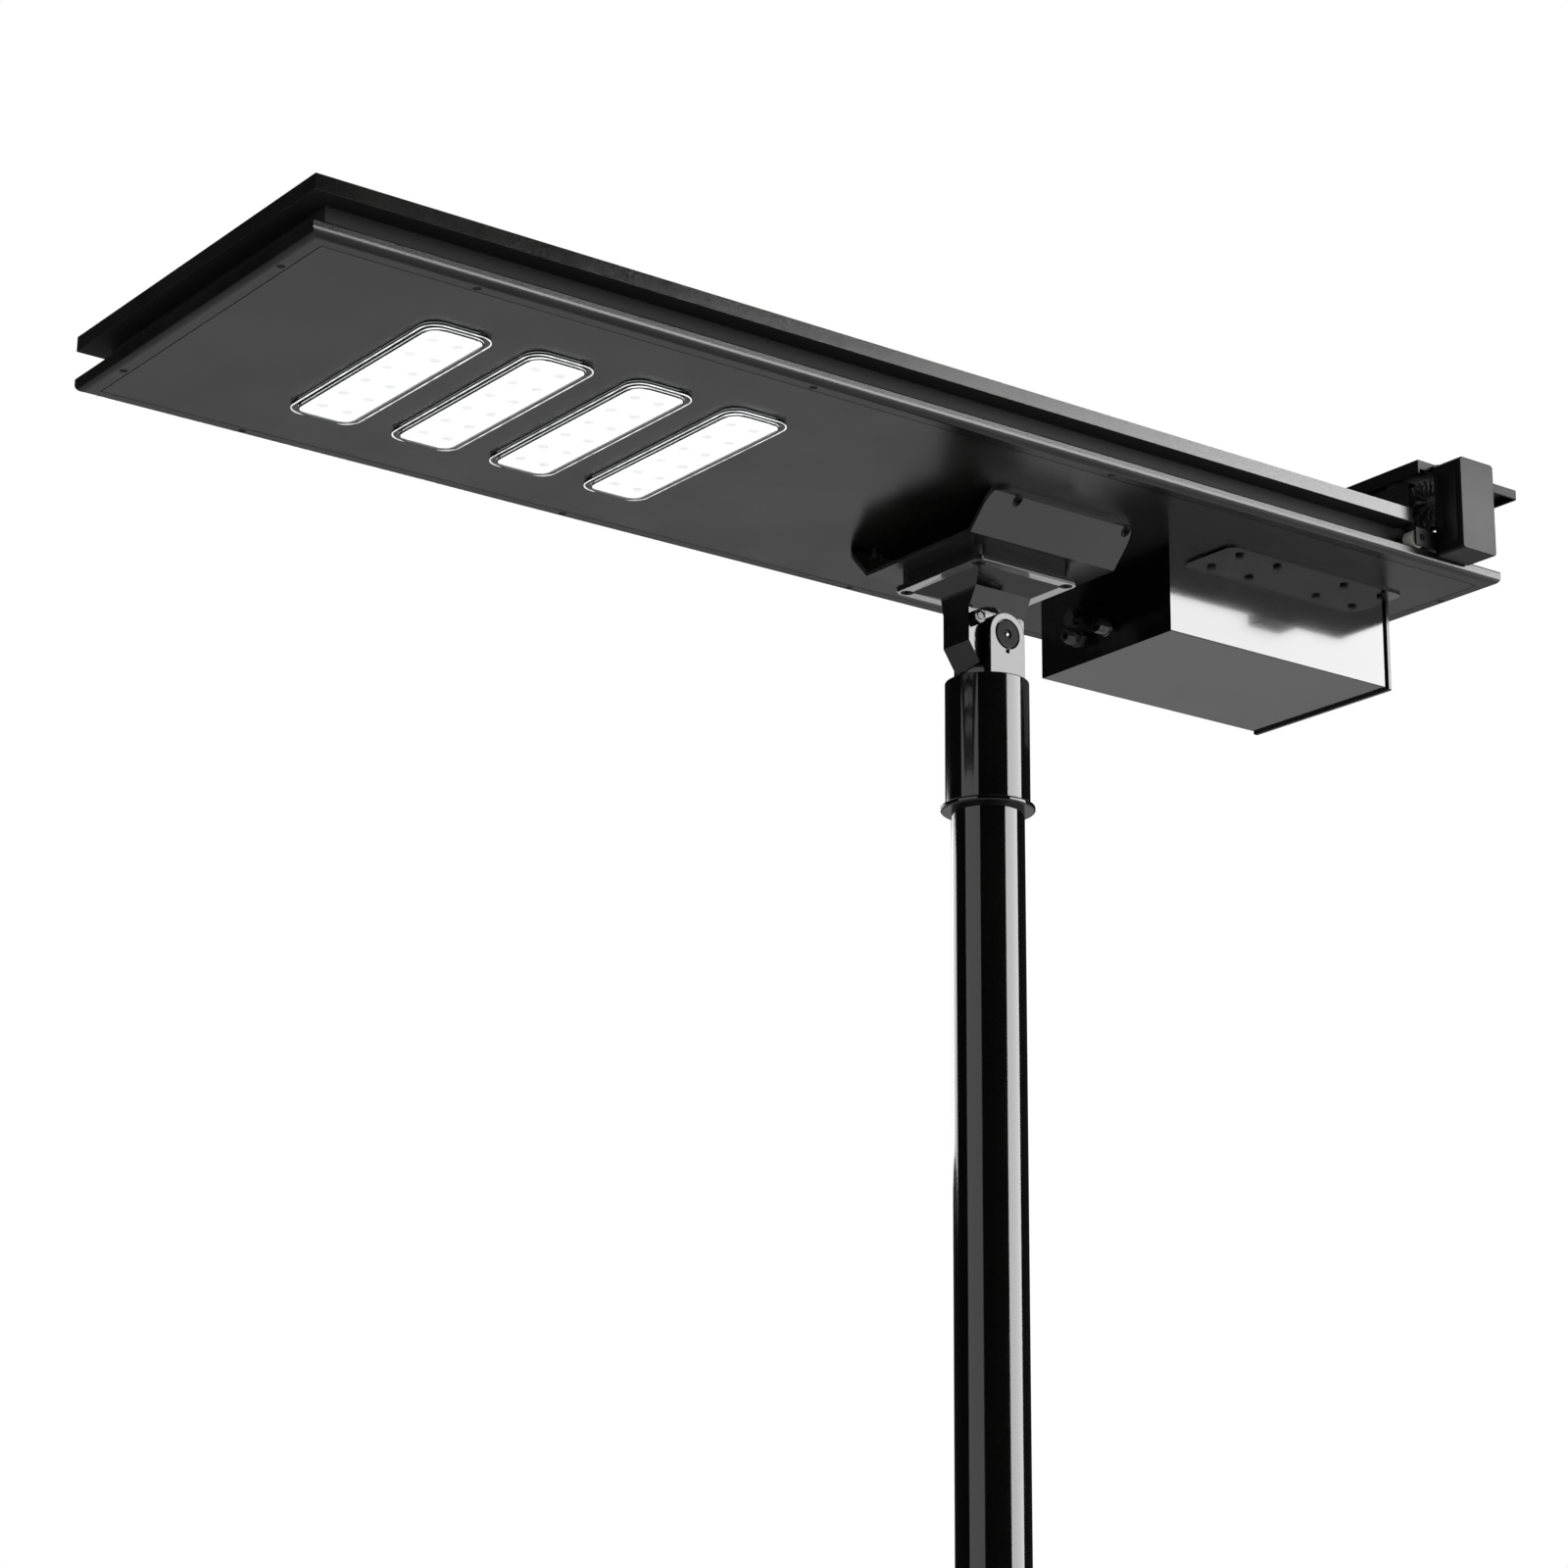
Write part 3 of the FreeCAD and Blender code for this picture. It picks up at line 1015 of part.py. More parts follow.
fill_sheet()
make_pole()
make_sleeve()
make_fork()
make_tilt_bolt()
make_knuckle()
make_knuckle_bolts()
make_spacer()
make_hat_bracket()
make_tray()
make_panel()
make_led_modules()
make_battery_box()
make_box_fittings()
make_hood()
make_housings()
make_brush()
make_drive()
make_wheels()
make_wiper()
check_document()
write_parts()
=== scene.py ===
# %% [markdown]
# # A solar street lamp that brushes its own panel
# A flat head carries a solar panel on top and four LED modules underneath. A knuckle on the pole tilts
# it, a box under its right end holds the battery, and a brush unit rides along grooves in its edges.
# The CAD model comes in as a fixed frame, in metres, with the pole's foot at the origin and +Z up.
# Its nodes keep their shapes. This script gives each one a finish, and adds what a maker would only
# see close up: LED optics, bristles, bolt heads with chamfers, weld beads, threads.

# %% Load the frame
import math
import random

import bmesh
import bpy
from mathutils import Matrix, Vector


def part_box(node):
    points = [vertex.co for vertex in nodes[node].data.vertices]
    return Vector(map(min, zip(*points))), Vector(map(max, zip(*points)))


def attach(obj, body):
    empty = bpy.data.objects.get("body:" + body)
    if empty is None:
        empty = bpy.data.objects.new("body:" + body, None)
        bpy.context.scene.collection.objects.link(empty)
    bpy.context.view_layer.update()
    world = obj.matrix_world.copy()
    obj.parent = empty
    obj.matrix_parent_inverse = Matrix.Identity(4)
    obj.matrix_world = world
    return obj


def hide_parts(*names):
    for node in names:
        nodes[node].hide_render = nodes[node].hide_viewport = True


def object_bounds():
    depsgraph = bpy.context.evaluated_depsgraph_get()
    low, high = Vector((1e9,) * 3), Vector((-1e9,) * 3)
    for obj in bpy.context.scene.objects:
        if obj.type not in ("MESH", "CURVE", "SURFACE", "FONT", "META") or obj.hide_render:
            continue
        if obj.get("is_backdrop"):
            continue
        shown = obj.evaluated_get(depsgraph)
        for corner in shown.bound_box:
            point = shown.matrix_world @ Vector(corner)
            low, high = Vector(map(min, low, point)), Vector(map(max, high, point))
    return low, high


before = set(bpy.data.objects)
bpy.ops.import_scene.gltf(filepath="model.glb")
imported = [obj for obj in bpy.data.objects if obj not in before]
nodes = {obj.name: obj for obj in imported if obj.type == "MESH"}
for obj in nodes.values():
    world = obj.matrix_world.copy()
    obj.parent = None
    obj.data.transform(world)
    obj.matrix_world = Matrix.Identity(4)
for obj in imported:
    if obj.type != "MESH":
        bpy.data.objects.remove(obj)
cad_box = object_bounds()

# %% [markdown]
# ## Camera
# The camera is set before anything is made, because every finish is judged through it. It could be
# aimed with a Track To constraint, but a place, a bearing, a tilt and a small roll say the same in four
# numbers and leave nothing live in the file. It stands low, on the LED side, and looks up.

# %% Camera
EYE = (-2.3904, -2.8692, 0.1497)
BEARING = -36.57
TILT_UP = 16.398
ROLL = 0.466
LENS_MM = 86.45


def aim(place, bearing, tilt, roll=0.0):
    """The matrix of something at a place that looks along a compass bearing, tilted up and rolled."""
    turn = Matrix.Rotation(math.radians(bearing), 4, "Z")
    turn @= Matrix.Rotation(math.radians(90 + tilt), 4, "X")
    turn @= Matrix.Rotation(math.radians(roll), 4, "Z")
    return Matrix.Translation(place) @ turn


camera_data = bpy.data.cameras.new("street_view")
camera_data.lens = LENS_MM
camera_data.sensor_width = 36.0
camera = bpy.data.objects.new("street_view", camera_data)
camera.matrix_world = aim(EYE, BEARING, TILT_UP, ROLL)
bpy.context.collection.objects.link(camera)
bpy.context.scene.camera = camera
print("camera at", EYE, "lens", LENS_MM, "mm")

# %% [markdown]
# ## Studio
# Gloss black has almost no colour of its own: it is drawn by what it mirrors. A studio puts one
# tall softbox to the right of the camera for a crisp white streak down the pole, and a dim panel on
# the left for a grey one. A strip behind and above gives a fine rim of light, a soft panel overhead
# lifts the top faces, and the rest is left dark. The floor is pale, and its light comes back up to
# the underside of the head. The world is white to the camera and nearly black to every other ray, so
# the softboxes alone shape the reflections. Radiance is how white a light looks in a mirror: an area
# light's watts are that, times pi, times its area.

# %% Softboxes, world and floor
KEY_RADIANCE = 11.0
LEFT_RADIANCE = 1.5
TOP_RADIANCE = 1.15
BACK_RADIANCE = 4.0
WORLD_DIM = 0.02
FLOOR_RADIUS = 5.9
STUDIO_REACH = 6.0
OVERHEAD_PLACE = (2.4, 3.2, 4.6)


def softbox(name, bearing, reach, low, high, width, radiance):
    """An upright rectangle of light facing the lamp; bearings run from -Y towards +X."""
    light = bpy.data.lights.new(name, "AREA")
    light.shape = "RECTANGLE"
    light.size = width
    light.size_y = high - low
    light.energy = radiance * math.pi * width * (high - low)
    angle = math.radians(bearing)
    place = (math.sin(angle) * reach, -math.cos(angle) * reach, (low + high) / 2)
    box = bpy.data.objects.new(name, light)
    box.matrix_world = aim(place, bearing, 0.0)
    bpy.context.collection.objects.link(box)
    return box


softbox("key_box", bearing=39.0, reach=STUDIO_REACH, low=0.8, high=3.95, width=5.2,
        radiance=KEY_RADIANCE)
softbox("left_panel", bearing=-90.0, reach=STUDIO_REACH, low=0.0, high=4.0, width=5.6,
        radiance=LEFT_RADIANCE)
softbox("back_panel", bearing=178.0, reach=STUDIO_REACH, low=2.0, high=2.96, width=5.0,
        radiance=BACK_RADIANCE)
overhead = softbox("overhead", bearing=0.0, reach=0.0, low=-2.0, high=2.0, width=5.0,
                   radiance=TOP_RADIANCE)
overhead.matrix_world = Matrix.Translation(OVERHEAD_PLACE)

world = bpy.data.worlds.new("studio")
world.use_nodes = True
sky = world.node_tree
sky.nodes.clear()
seen = sky.nodes.new("ShaderNodeLightPath")
dim = sky.nodes.new("ShaderNodeBackground")
white = sky.nodes.new("ShaderNodeBackground")
choose = sky.nodes.new("ShaderNodeMixShader")
out = sky.nodes.new("ShaderNodeOutputWorld")
dim.inputs["Strength"].default_value = WORLD_DIM
dim.inputs["Color"].default_value = (1.0, 1.0, 1.0, 1.0)
white.inputs["Color"].default_value = (1.0, 1.0, 1.0, 1.0)
sky.links.new(seen.outputs["Is Camera Ray"], choose.inputs["Fac"])
sky.links.new(dim.outputs[0], choose.inputs[1])
sky.links.new(white.outputs[0], choose.inputs[2])
sky.links.new(choose.outputs[0], out.inputs[0])
bpy.context.scene.world = world
bpy.context.scene.view_settings.view_transform = "Standard"

paper = bmesh.new()
bmesh.ops.create_circle(paper, cap_ends=True, segments=96, radius=FLOOR_RADIUS)
floor_mesh = bpy.data.meshes.new("floor")
paper.to_mesh(floor_mesh)
paper.free()
floor = bpy.data.objects.new("floor", floor_mesh)
bpy.context.collection.objects.link(floor)
floor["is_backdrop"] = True

# %% [markdown]
# ## Shared effects
# Most of this lamp is black paint, and what tells one black from another is grain, gloss and dirt.
# Each effect could be wired afresh in every material, but a shader node group is built once and placed
# with its own values. A group here puts out only colours, masks and heights. The shader itself, with
# its fixed numbers, stays in each material.

# %% Helpers for node trees
def feed(tree, socket, source):
    """Fill an input with another node's output, a colour or a number."""
    if isinstance(source, bpy.types.NodeSocket):
        tree.links.new(source, socket)
    elif isinstance(source, tuple):
        socket.default_value = (*source, 1.0) if len(source) == 3 and socket.type == "RGBA" else source
    else:
        socket.default_value = source


def step(tree, kind, settings=None, **inputs):
    """A node of a kind, with its settings and its inputs; underscores stand for spaces in input names."""
    made = tree.nodes.new("ShaderNode" + kind)
    for key, value in (settings or {}).items():
        setattr(made, key, value)
    for label, source in inputs.items():
        feed(tree, made.inputs[label.replace("_", " ")], source)
    return made


def maths(tree, operation, *values):
    """One sum on two or three values; returns its output."""
    made = step(tree, "Math", {"operation": operation})
    for socket, value in zip(made.inputs, values):
        feed(tree, socket, value)
    return made.outputs[0]


def blend(tree, amount, first, second):
    """Mix two colours; returns the mixed colour."""
    made = step(tree, "Mix", {"data_type": "RGBA"})
    for number, source in ((0, amount), (6, first), (7, second)):
        feed(tree, made.inputs[number], source)
    return made.outputs[2]


def ramp(tree, value, low, high, floor_value=0.0, top_value=1.0):
    """Stretch a value from low...high to floor_value...top_value, clamped."""
    made = step(tree, "MapRange", Value=value, From_Min=low, From_Max=high,
                To_Min=floor_value, To_Max=top_value)
    return made.outputs[0]


def between(tree, amount, low, high):
    """A value that goes from low to high as the amount goes from 0 to 1."""
    return maths(tree, "MULTIPLY_ADD", amount, maths(tree, "SUBTRACT", high, low), low)


def start_group(name, inputs, outputs):
    """An empty node group with its sockets; returns the tree, its inputs and its output node."""
    tree = bpy.data.node_groups.new(name, "ShaderNodeTree")
    for label, kind, value in inputs:
        socket = tree.interface.new_socket(name=label, in_out="INPUT", socket_type="NodeSocket" + kind)
        if value is not None:
            socket.default_value = value
    for label, kind in outputs:
        tree.interface.new_socket(name=label, in_out="OUTPUT", socket_type="NodeSocket" + kind)
    return tree, tree.nodes.new("NodeGroupInput").outputs, tree.nodes.new("NodeGroupOutput").inputs


def use_group(tree, group, **inputs):
    """Place a group in a material; returns its outputs."""
    made = step(tree, "Group", {"node_tree": group}, **inputs)
    return made.outputs


# %% [markdown]
# ### Paint grain
# Powder coat is sprayed as dry plastic dust and baked until it flows. It ends up with a fine grain, and
# with slow cloudy changes in gloss where the coat is thicker. A noise at each of those two scales
# gives them, which is cheaper and more even than a bitmap and works on any shape.

# %% Group: paint grain
GRAIN, taken, given = start_group("paint_grain", [
    ("Place", "Vector", None), ("Grain Scale", "Float", 900.0), ("Cloud Scale", "Float", 9.0),
    ("Dark", "Color", (0.01, 0.01, 0.01, 1.0)), ("Light", "Color", (0.02, 0.02, 0.02, 1.0)),
    ("Gloss", "Float", 0.3), ("Dull", "Float", 0.5),
], [("Color", "Color"), ("Roughness", "Float"), ("Height", "Float")])
grain = step(GRAIN, "TexNoise", Vector=taken["Place"], Scale=taken["Grain Scale"], Detail=1.5)
cloud = step(GRAIN, "TexNoise", Vector=taken["Place"], Scale=taken["Cloud Scale"], Detail=4.0)
speck = ramp(GRAIN, grain.outputs["Fac"], 0.35, 0.7)
haze = ramp(GRAIN, cloud.outputs["Fac"], 0.35, 0.65)
both = maths(GRAIN, "MULTIPLY_ADD", speck, 0.7, maths(GRAIN, "MULTIPLY", haze, 0.3))
feed(GRAIN, given["Color"], blend(GRAIN, both, taken["Dark"], taken["Light"]))
feed(GRAIN, given["Roughness"], between(GRAIN, haze, taken["Gloss"], taken["Dull"]))
feed(GRAIN, given["Height"], grain.outputs["Fac"])
print("group:", GRAIN.name)

# %% [markdown]
# ### Dust
# A lamp that lives outdoors keeps a little dust on whatever faces up, in patches. The object normal's
# upward part finds those faces, and a noise breaks the patch up. It also goes in faintly all over, so
# that no face is quite clean.

# %% Group: settled dust
DUST, taken, given = start_group("settled_dust", [
    ("Place", "Vector", None), ("Normal", "Vector", None), ("Up", "Float", 0.5),
    ("All Over", "Float", 0.05),
    ("Color", "Color", (0.0, 0.0, 0.0, 1.0)), ("Dust", "Color", (0.30, 0.28, 0.25, 1.0)),
    ("Roughness", "Float", 0.4),
], [("Color", "Color"), ("Roughness", "Float")])
facing = step(DUST, "SeparateXYZ", Vector=taken["Normal"])
patch = step(DUST, "TexNoise", Vector=taken["Place"], Scale=14.0, Detail=6.0)
patchy = ramp(DUST, patch.outputs["Fac"], 0.38, 0.72)
up = ramp(DUST, facing.outputs["Z"], 0.3, 0.95)
cover = maths(DUST, "MULTIPLY_ADD", up, taken["Up"], taken["All Over"])
mask = maths(DUST, "MULTIPLY", cover, patchy)
feed(DUST, given["Color"], blend(DUST, mask, taken["Color"], taken["Dust"]))
duller = maths(DUST, "MULTIPLY_ADD", mask, 0.5, taken["Roughness"])
feed(DUST, given["Roughness"], maths(DUST, "MINIMUM", duller, 1.0))
print("group:", DUST.name)

# %% [markdown]
# ### Lay of the metal
# Bare metal shows the way it was rolled or turned, as fine lines along one direction. A noise squeezed
# hard along two axes gives such lines, and they change both the shade and the gloss.

# %% Group: metal lines
LINES, taken, given = start_group("metal_lines", [
    ("Place", "Vector", None), ("Stretch", "Vector", (300.0, 4.0, 300.0)),
    ("Dark", "Color", (0.4, 0.4, 0.4, 1.0)), ("Light", "Color", (0.6, 0.6, 0.6, 1.0)),
    ("Gloss", "Float", 0.2), ("Dull", "Float", 0.4),
], [("Color", "Color"), ("Roughness", "Float"), ("Height", "Float")])
squeezed = step(LINES, "VectorMath", {"operation": "MULTIPLY"})
feed(LINES, squeezed.inputs[0], taken["Place"])
feed(LINES, squeezed.inputs[1], taken["Stretch"])
line = step(LINES, "TexNoise", Vector=squeezed.outputs[0], Scale=1.0, Detail=5.0)
lined = ramp(LINES, line.outputs["Fac"], 0.3, 0.7)
feed(LINES, given["Color"], blend(LINES, lined, taken["Dark"], taken["Light"]))
feed(LINES, given["Roughness"], between(LINES, lined, taken["Gloss"], taken["Dull"]))
feed(LINES, given["Height"], line.outputs["Fac"])
print("group:", LINES.name)

# %% [markdown]
# ## Black paints
# All the painted parts share one recipe with different numbers: the grain group for colour, gloss and
# height, then the dust group, then the shader. The pole and sleeve are smooth gloss, the battery case is
# a smooth coat with a trace of orange peel, the rails are a coarse texture, and the sheet parts a satin.

# %% Paint recipe
def new_material(name):
    """An empty node material: its tree, its shader and the place coordinates it reads."""
    material = bpy.data.materials.new(name)
    material.use_nodes = True
    tree = material.node_tree
    return material, tree, tree.nodes["Principled BSDF"], step(tree, "TexCoord").outputs


def bumped(tree, shader, height, depth, distance=0.001):
    """Feed a height to the shader's normal."""
    bump = step(tree, "Bump", Height=height, Strength=depth, Distance=distance)
    feed(tree, shader.inputs["Normal"], bump.outputs["Normal"])


PAINT_CLOUDS = 9.0
# Painted shade: the near-black colour and dullness given to a groove that lies in shade.
PAINTED_SHADE_BLACK, PAINTED_SHADE_DULL = (0.0012,) * 3, 0.75
STRAIGHT_DOWN, UNDERSIDE_HIGHLIGHT_METAL = -0.98, 0.85


def paint(name, dark, light, gloss, dull, grain_scale, depth, up=0.3, all_over=0.02, coat=0.0,
          specular=0.5, recess=None, underside_highlight=None):
    """Black paint; the low and high edge of a groove in shade bound a band of heights painted black and
    dull, a painted shade.

    A colour given for downward faces turns every face that points straight down into bright metal, a
    painted highlight.
    """
    material, tree, shader, coordinates = new_material(name)
    place = coordinates["Object"]
    coat_of = use_group(tree, GRAIN, Place=place, Grain_Scale=grain_scale, Cloud_Scale=PAINT_CLOUDS,
                        Dark=dark, Light=light, Gloss=gloss, Dull=dull)
    dusty = use_group(tree, DUST, Place=place, Normal=coordinates["Normal"], Up=up, All_Over=all_over,
                      Color=coat_of["Color"], Roughness=coat_of["Roughness"])
    color, roughness = dusty["Color"], dusty["Roughness"]
    # Painted shade: heights between the band's two edges are painted near-black and dull.
    if recess:
        height = step(tree, "SeparateXYZ", Vector=place).outputs["Z"]
        in_painted_shade = maths(tree, "MULTIPLY", maths(tree, "GREATER_THAN", height, recess[0]),
                       maths(tree, "LESS_THAN", height, recess[1]))
        color = blend(tree, in_painted_shade, color, PAINTED_SHADE_BLACK)
        roughness = maths(tree, "MAXIMUM", roughness, maths(tree, "MULTIPLY", in_painted_shade, PAINTED_SHADE_DULL))
    # Painted highlight: faces that point straight down become bright metal.
    if underside_highlight:
        points = step(tree, "SeparateXYZ", Vector=coordinates["Normal"]).outputs["Z"]
        flat = maths(tree, "LESS_THAN", points, STRAIGHT_DOWN)
        color = blend(tree, flat, color, underside_highlight)
        feed(tree, shader.inputs["Metallic"], maths(tree, "MULTIPLY", flat, UNDERSIDE_HIGHLIGHT_METAL))
    feed(tree, shader.inputs["Base Color"], color)
    feed(tree, shader.inputs["Roughness"], roughness)
    shader.inputs["Specular IOR Level"].default_value = specular
    shader.inputs["Coat Weight"].default_value = coat
    shader.inputs["Coat Roughness"].default_value = 0.06
    bumped(tree, shader, coat_of["Height"], depth)
    return material


# %% The paints
MM = 0.001
LIP_HIGH = 15.0 * MM
lip_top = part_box("tray_rails")[0][2] + LIP_HIGH
rails_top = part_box("tray_rails")[1][2]
FINISH = {}
FINISH["gloss_black"] = paint("pole_gloss", (0.0012,) * 3, (0.0025,) * 3, 0.05, 0.10, 260.0, 0.015,
                              up=0.25, all_over=0.004)
FINISH["case_black"] = paint("case_gloss", (0.002,) * 3, (0.004,) * 3, 0.09, 0.13, 700.0, 0.05,
                             all_over=0.004, coat=0.5)
# The rails' groove wall and the panel frame's underside above it get painted shade.
FINISH["rail_black"] = paint("rail_texture", (0.002,) * 3, (0.010,) * 3, 0.11, 0.16, 1500.0, 0.11,
                             up=0.35, specular=0.38, recess=(lip_top, rails_top + 1.0 * MM))
FINISH["frame_black"] = paint("panel_frame_texture", (0.003,) * 3, (0.012,) * 3, 0.05, 0.09, 1500.0,
                              0.06, up=0.35, recess=(rails_top - 1.0 * MM, rails_top + 0.3 * MM))
FINISH["sheet_black"] = paint("underside_satin", (0.004,) * 3, (0.009,) * 3, 0.18, 0.25, 900.0, 0.07,
                              all_over=0.012)
FINISH["bracket_black"] = paint("bracket_satin", (0.006,) * 3, (0.014,) * 3, 0.20, 0.28, 800.0, 0.08,
                                specular=0.8)
# The knuckle's downward faces get the painted highlight.
FINISH["cast_black"] = paint("knuckle_cast", (0.002,) * 3, (0.006,) * 3, 0.07, 0.13, 420.0, 0.10,
                             specular=0.6, underside_highlight=(0.62, 0.62, 0.63))
FINISH["moulded_black"] = paint("moulded_plastic", (0.002,) * 3, (0.006,) * 3, 0.30, 0.42, 1100.0, 0.15,
                                specular=0.22)
print("paints:", len(FINISH))

# %% [markdown]
# ## Metals, plastics, rubber
# The rest is small hardware: blackened and plated steel with turning lines, white acetal wheels, black
# mouldings and silicone. Metals use the lines group; plastics and rubber use the grain group with
# their own colours.

# %% Metal recipe and metals
METAL_STRETCH, METAL_DEPTH, METAL_DUST = (500.0, 30.0, 500.0), 0.08, 0.15


def metal(name, dark, light, gloss, dull):
    """Bare or plated metal with fine lines and a little dust."""
    material, tree, shader, coordinates = new_material(name)
    lay = use_group(tree, LINES, Place=coordinates["Object"], Stretch=METAL_STRETCH, Dark=dark,
                    Light=light, Gloss=gloss, Dull=dull)
    dusty = use_group(tree, DUST, Place=coordinates["Object"], Normal=coordinates["Normal"],
                      Up=METAL_DUST, All_Over=0.01, Color=lay["Color"], Roughness=lay["Roughness"])
    feed(tree, shader.inputs["Base Color"], dusty["Color"])
    feed(tree, shader.inputs["Roughness"], dusty["Roughness"])
    shader.inputs["Metallic"].default_value = 1.0
    bumped(tree, shader, lay["Height"], METAL_DEPTH)
    return material


FINISH["black_screw"] = metal("blackened_screws", (0.010,) * 3, (0.03,) * 3, 0.18, 0.34)
FINISH["bolt_steel"] = metal("blackened_bolts", (0.02,) * 3, (0.05,) * 3, 0.12, 0.24)
FINISH["bright_steel"] = metal("bright_steel", (0.55, 0.56, 0.57), (0.78, 0.78, 0.78), 0.10, 0.22)
FINISH["zinc_steel"] = metal("dark_nickel", (0.10, 0.10, 0.10), (0.22, 0.22, 0.22), 0.14, 0.28)
FINISH["bare_aluminium"] = metal("mill_aluminium", (0.55, 0.56, 0.58), (0.72, 0.73, 0.74), 0.25, 0.42)
FINISH["motor_case"] = metal("plated_motor_case", (0.42, 0.42, 0.43), (0.6, 0.6, 0.6), 0.2, 0.35)
print("metals done,", len(FINISH), "finishes")


# %% Plastic, rubber and other dielectrics
def moulding(name, dark, light, gloss, dull, grain_scale=900.0, depth=0.1, up=0.3, sheen=0.0):
    """Plastic or rubber in any colour, from the paint-grain group."""
    material, tree, shader, coordinates = new_material(name)
    skin = use_group(tree, GRAIN, Place=coordinates["Object"], Grain_Scale=grain_scale, Cloud_Scale=30.0,
                     Dark=dark, Light=light, Gloss=gloss, Dull=dull)
    dusty = use_group(tree, DUST, Place=coordinates["Object"], Normal=coordinates["Normal"], Up=up,
                      All_Over=0.02, Color=skin["Color"], Roughness=skin["Roughness"])
    feed(tree, shader.inputs["Base Color"], dusty["Color"])
    feed(tree, shader.inputs["Roughness"], dusty["Roughness"])
    shader.inputs["Sheen Weight"].default_value = sheen
    bumped(tree, shader, skin["Height"], depth)
    return material


FINISH["seal"] = moulding("silicone_seal", (0.008,) * 3, (0.016,) * 3, 0.42, 0.6)
FINISH["blade_rubber"] = moulding("blade_rubber", (0.010,) * 3, (0.022,) * 3, 0.5, 0.7)
FINISH["white_gear"] = moulding("acetal", (0.62, 0.62, 0.60), (0.74, 0.74, 0.72), 0.28, 0.4, up=0.5)
FINISH["led_board"] = moulding("white_board", (0.72, 0.73, 0.71), (0.84, 0.85, 0.83), 0.4, 0.5, up=0.0)
FINISH["battery_wrap"] = moulding("shrink_wrap", (0.02, 0.06, 0.20), (0.03, 0.09, 0.26), 0.2, 0.35, 60.0)
FINISH["controller_case"] = moulding("anodised_case", (0.05, 0.05, 0.055), (0.08, 0.08, 0.085), 0.3, 0.4)
FINISH["button_plastic"] = moulding("button_plastic", (0.03,) * 3, (0.05,) * 3, 0.16, 0.24, up=0.1)
FINISH["bristle"] = moulding("nylon_bristle", (0.012,) * 3, (0.05,) * 3, 0.3, 0.5, 300.0, 0.0, sheen=0.2)
# Painted shade: screws, bolts and bearings that sit in recesses are made near-black and dull, for the
# shade they sit in.
FINISH["recess_black"] = moulding("painted_recess_shade", (0.001,) * 3, (0.004,) * 3, 0.75, 0.9, up=0.0)
print("mouldings done,", len(FINISH), "finishes")

# %% [markdown]
# ## Solar cells and their glass
# The panel is three rows of dark silicon cells behind tempered glass. Each cell carries fine silver
# fingers across and three busbars along, and the gaps between cells show the dark backing. The
# cropped corners of real cells are left out. Small geometry for every finger would be wasteful, so
# the laminate is one sheet with a pattern worked out from its place: distance to the nearest cell
# edge, finger and busbar.

# %% Cells
def stripe(tree, value, pitch, offset, half_width):
    """1 on stripes of a half width that repeat at a pitch, else 0."""
    shifted = maths(tree, "DIVIDE", maths(tree, "SUBTRACT", value, offset), pitch)
    away = maths(tree, "ABSOLUTE", maths(tree, "SUBTRACT", maths(tree, "FRACT", shifted), 0.5))
    return maths(tree, "LESS_THAN", away, half_width / pitch)


CELL_MARGIN, GAP_HALF, BUSBAR_HALF, BUSBARS = 6 * MM, 1.3 * MM, 0.8 * MM, 3
FINGER_PITCH, FINGER_HALF = 2.4 * MM, 0.16 * MM
cells_low, cells_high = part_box("pv_cells")
CELL_COLUMNS = 8
CELL_ROWS = 3
cell_x = (cells_high[0] - cells_low[0] - 2 * CELL_MARGIN) / CELL_COLUMNS
cell_y = (cells_high[1] - cells_low[1] - 2 * CELL_MARGIN) / CELL_ROWS
material, tree, shader, coordinates = new_material("silicon_cells")
where = step(tree, "SeparateXYZ", Vector=coordinates["Object"]).outputs
gap_x = stripe(tree, where["X"], cell_x, cells_low[0] + CELL_MARGIN + cell_x / 2, GAP_HALF)
gap_y = stripe(tree, where["Y"], cell_y, cells_low[1] + CELL_MARGIN + cell_y / 2, GAP_HALF)
finger = stripe(tree, where["X"], FINGER_PITCH, cells_low[0], FINGER_HALF)
busbar = stripe(tree, where["Y"], cell_y / BUSBARS, cells_low[1] + CELL_MARGIN, BUSBAR_HALF)
crystal = step(tree, "TexVoronoi", Vector=coordinates["Object"], Scale=60.0)
tint = step(tree, "TexNoise", Vector=coordinates["Object"], Scale=3.0)
blue = blend(tree, ramp(tree, tint.outputs["Fac"], 0.3, 0.7), (0.004, 0.006, 0.016),
             (0.008, 0.012, 0.030))
blue = blend(tree, maths(tree, "MULTIPLY", crystal.outputs["Distance"], 0.25), blue, (0.02, 0.03, 0.06))
silver = maths(tree, "MAXIMUM", maths(tree, "MULTIPLY", finger, 0.35), busbar)
seam = maths(tree, "MAXIMUM", gap_x, gap_y)
printed = blend(tree, silver, blue, (0.42, 0.43, 0.45))
feed(tree, shader.inputs["Base Color"], blend(tree, seam, printed, (0.012, 0.012, 0.013)))
feed(tree, shader.inputs["Roughness"], ramp(tree, silver, 0.0, 1.0, 0.32, 0.45))
FINISH["pv_cells"] = material
print("cells:", CELL_COLUMNS, "x", CELL_ROWS, "each", round(cell_x, 4), "x", round(cell_y, 4), "m")

# %% [markdown]
# Tempered glass is plain transmission. A trace of dust and faint wipe marks, left by the brush along
# the panel, go into its roughness only, so that it stays clear.

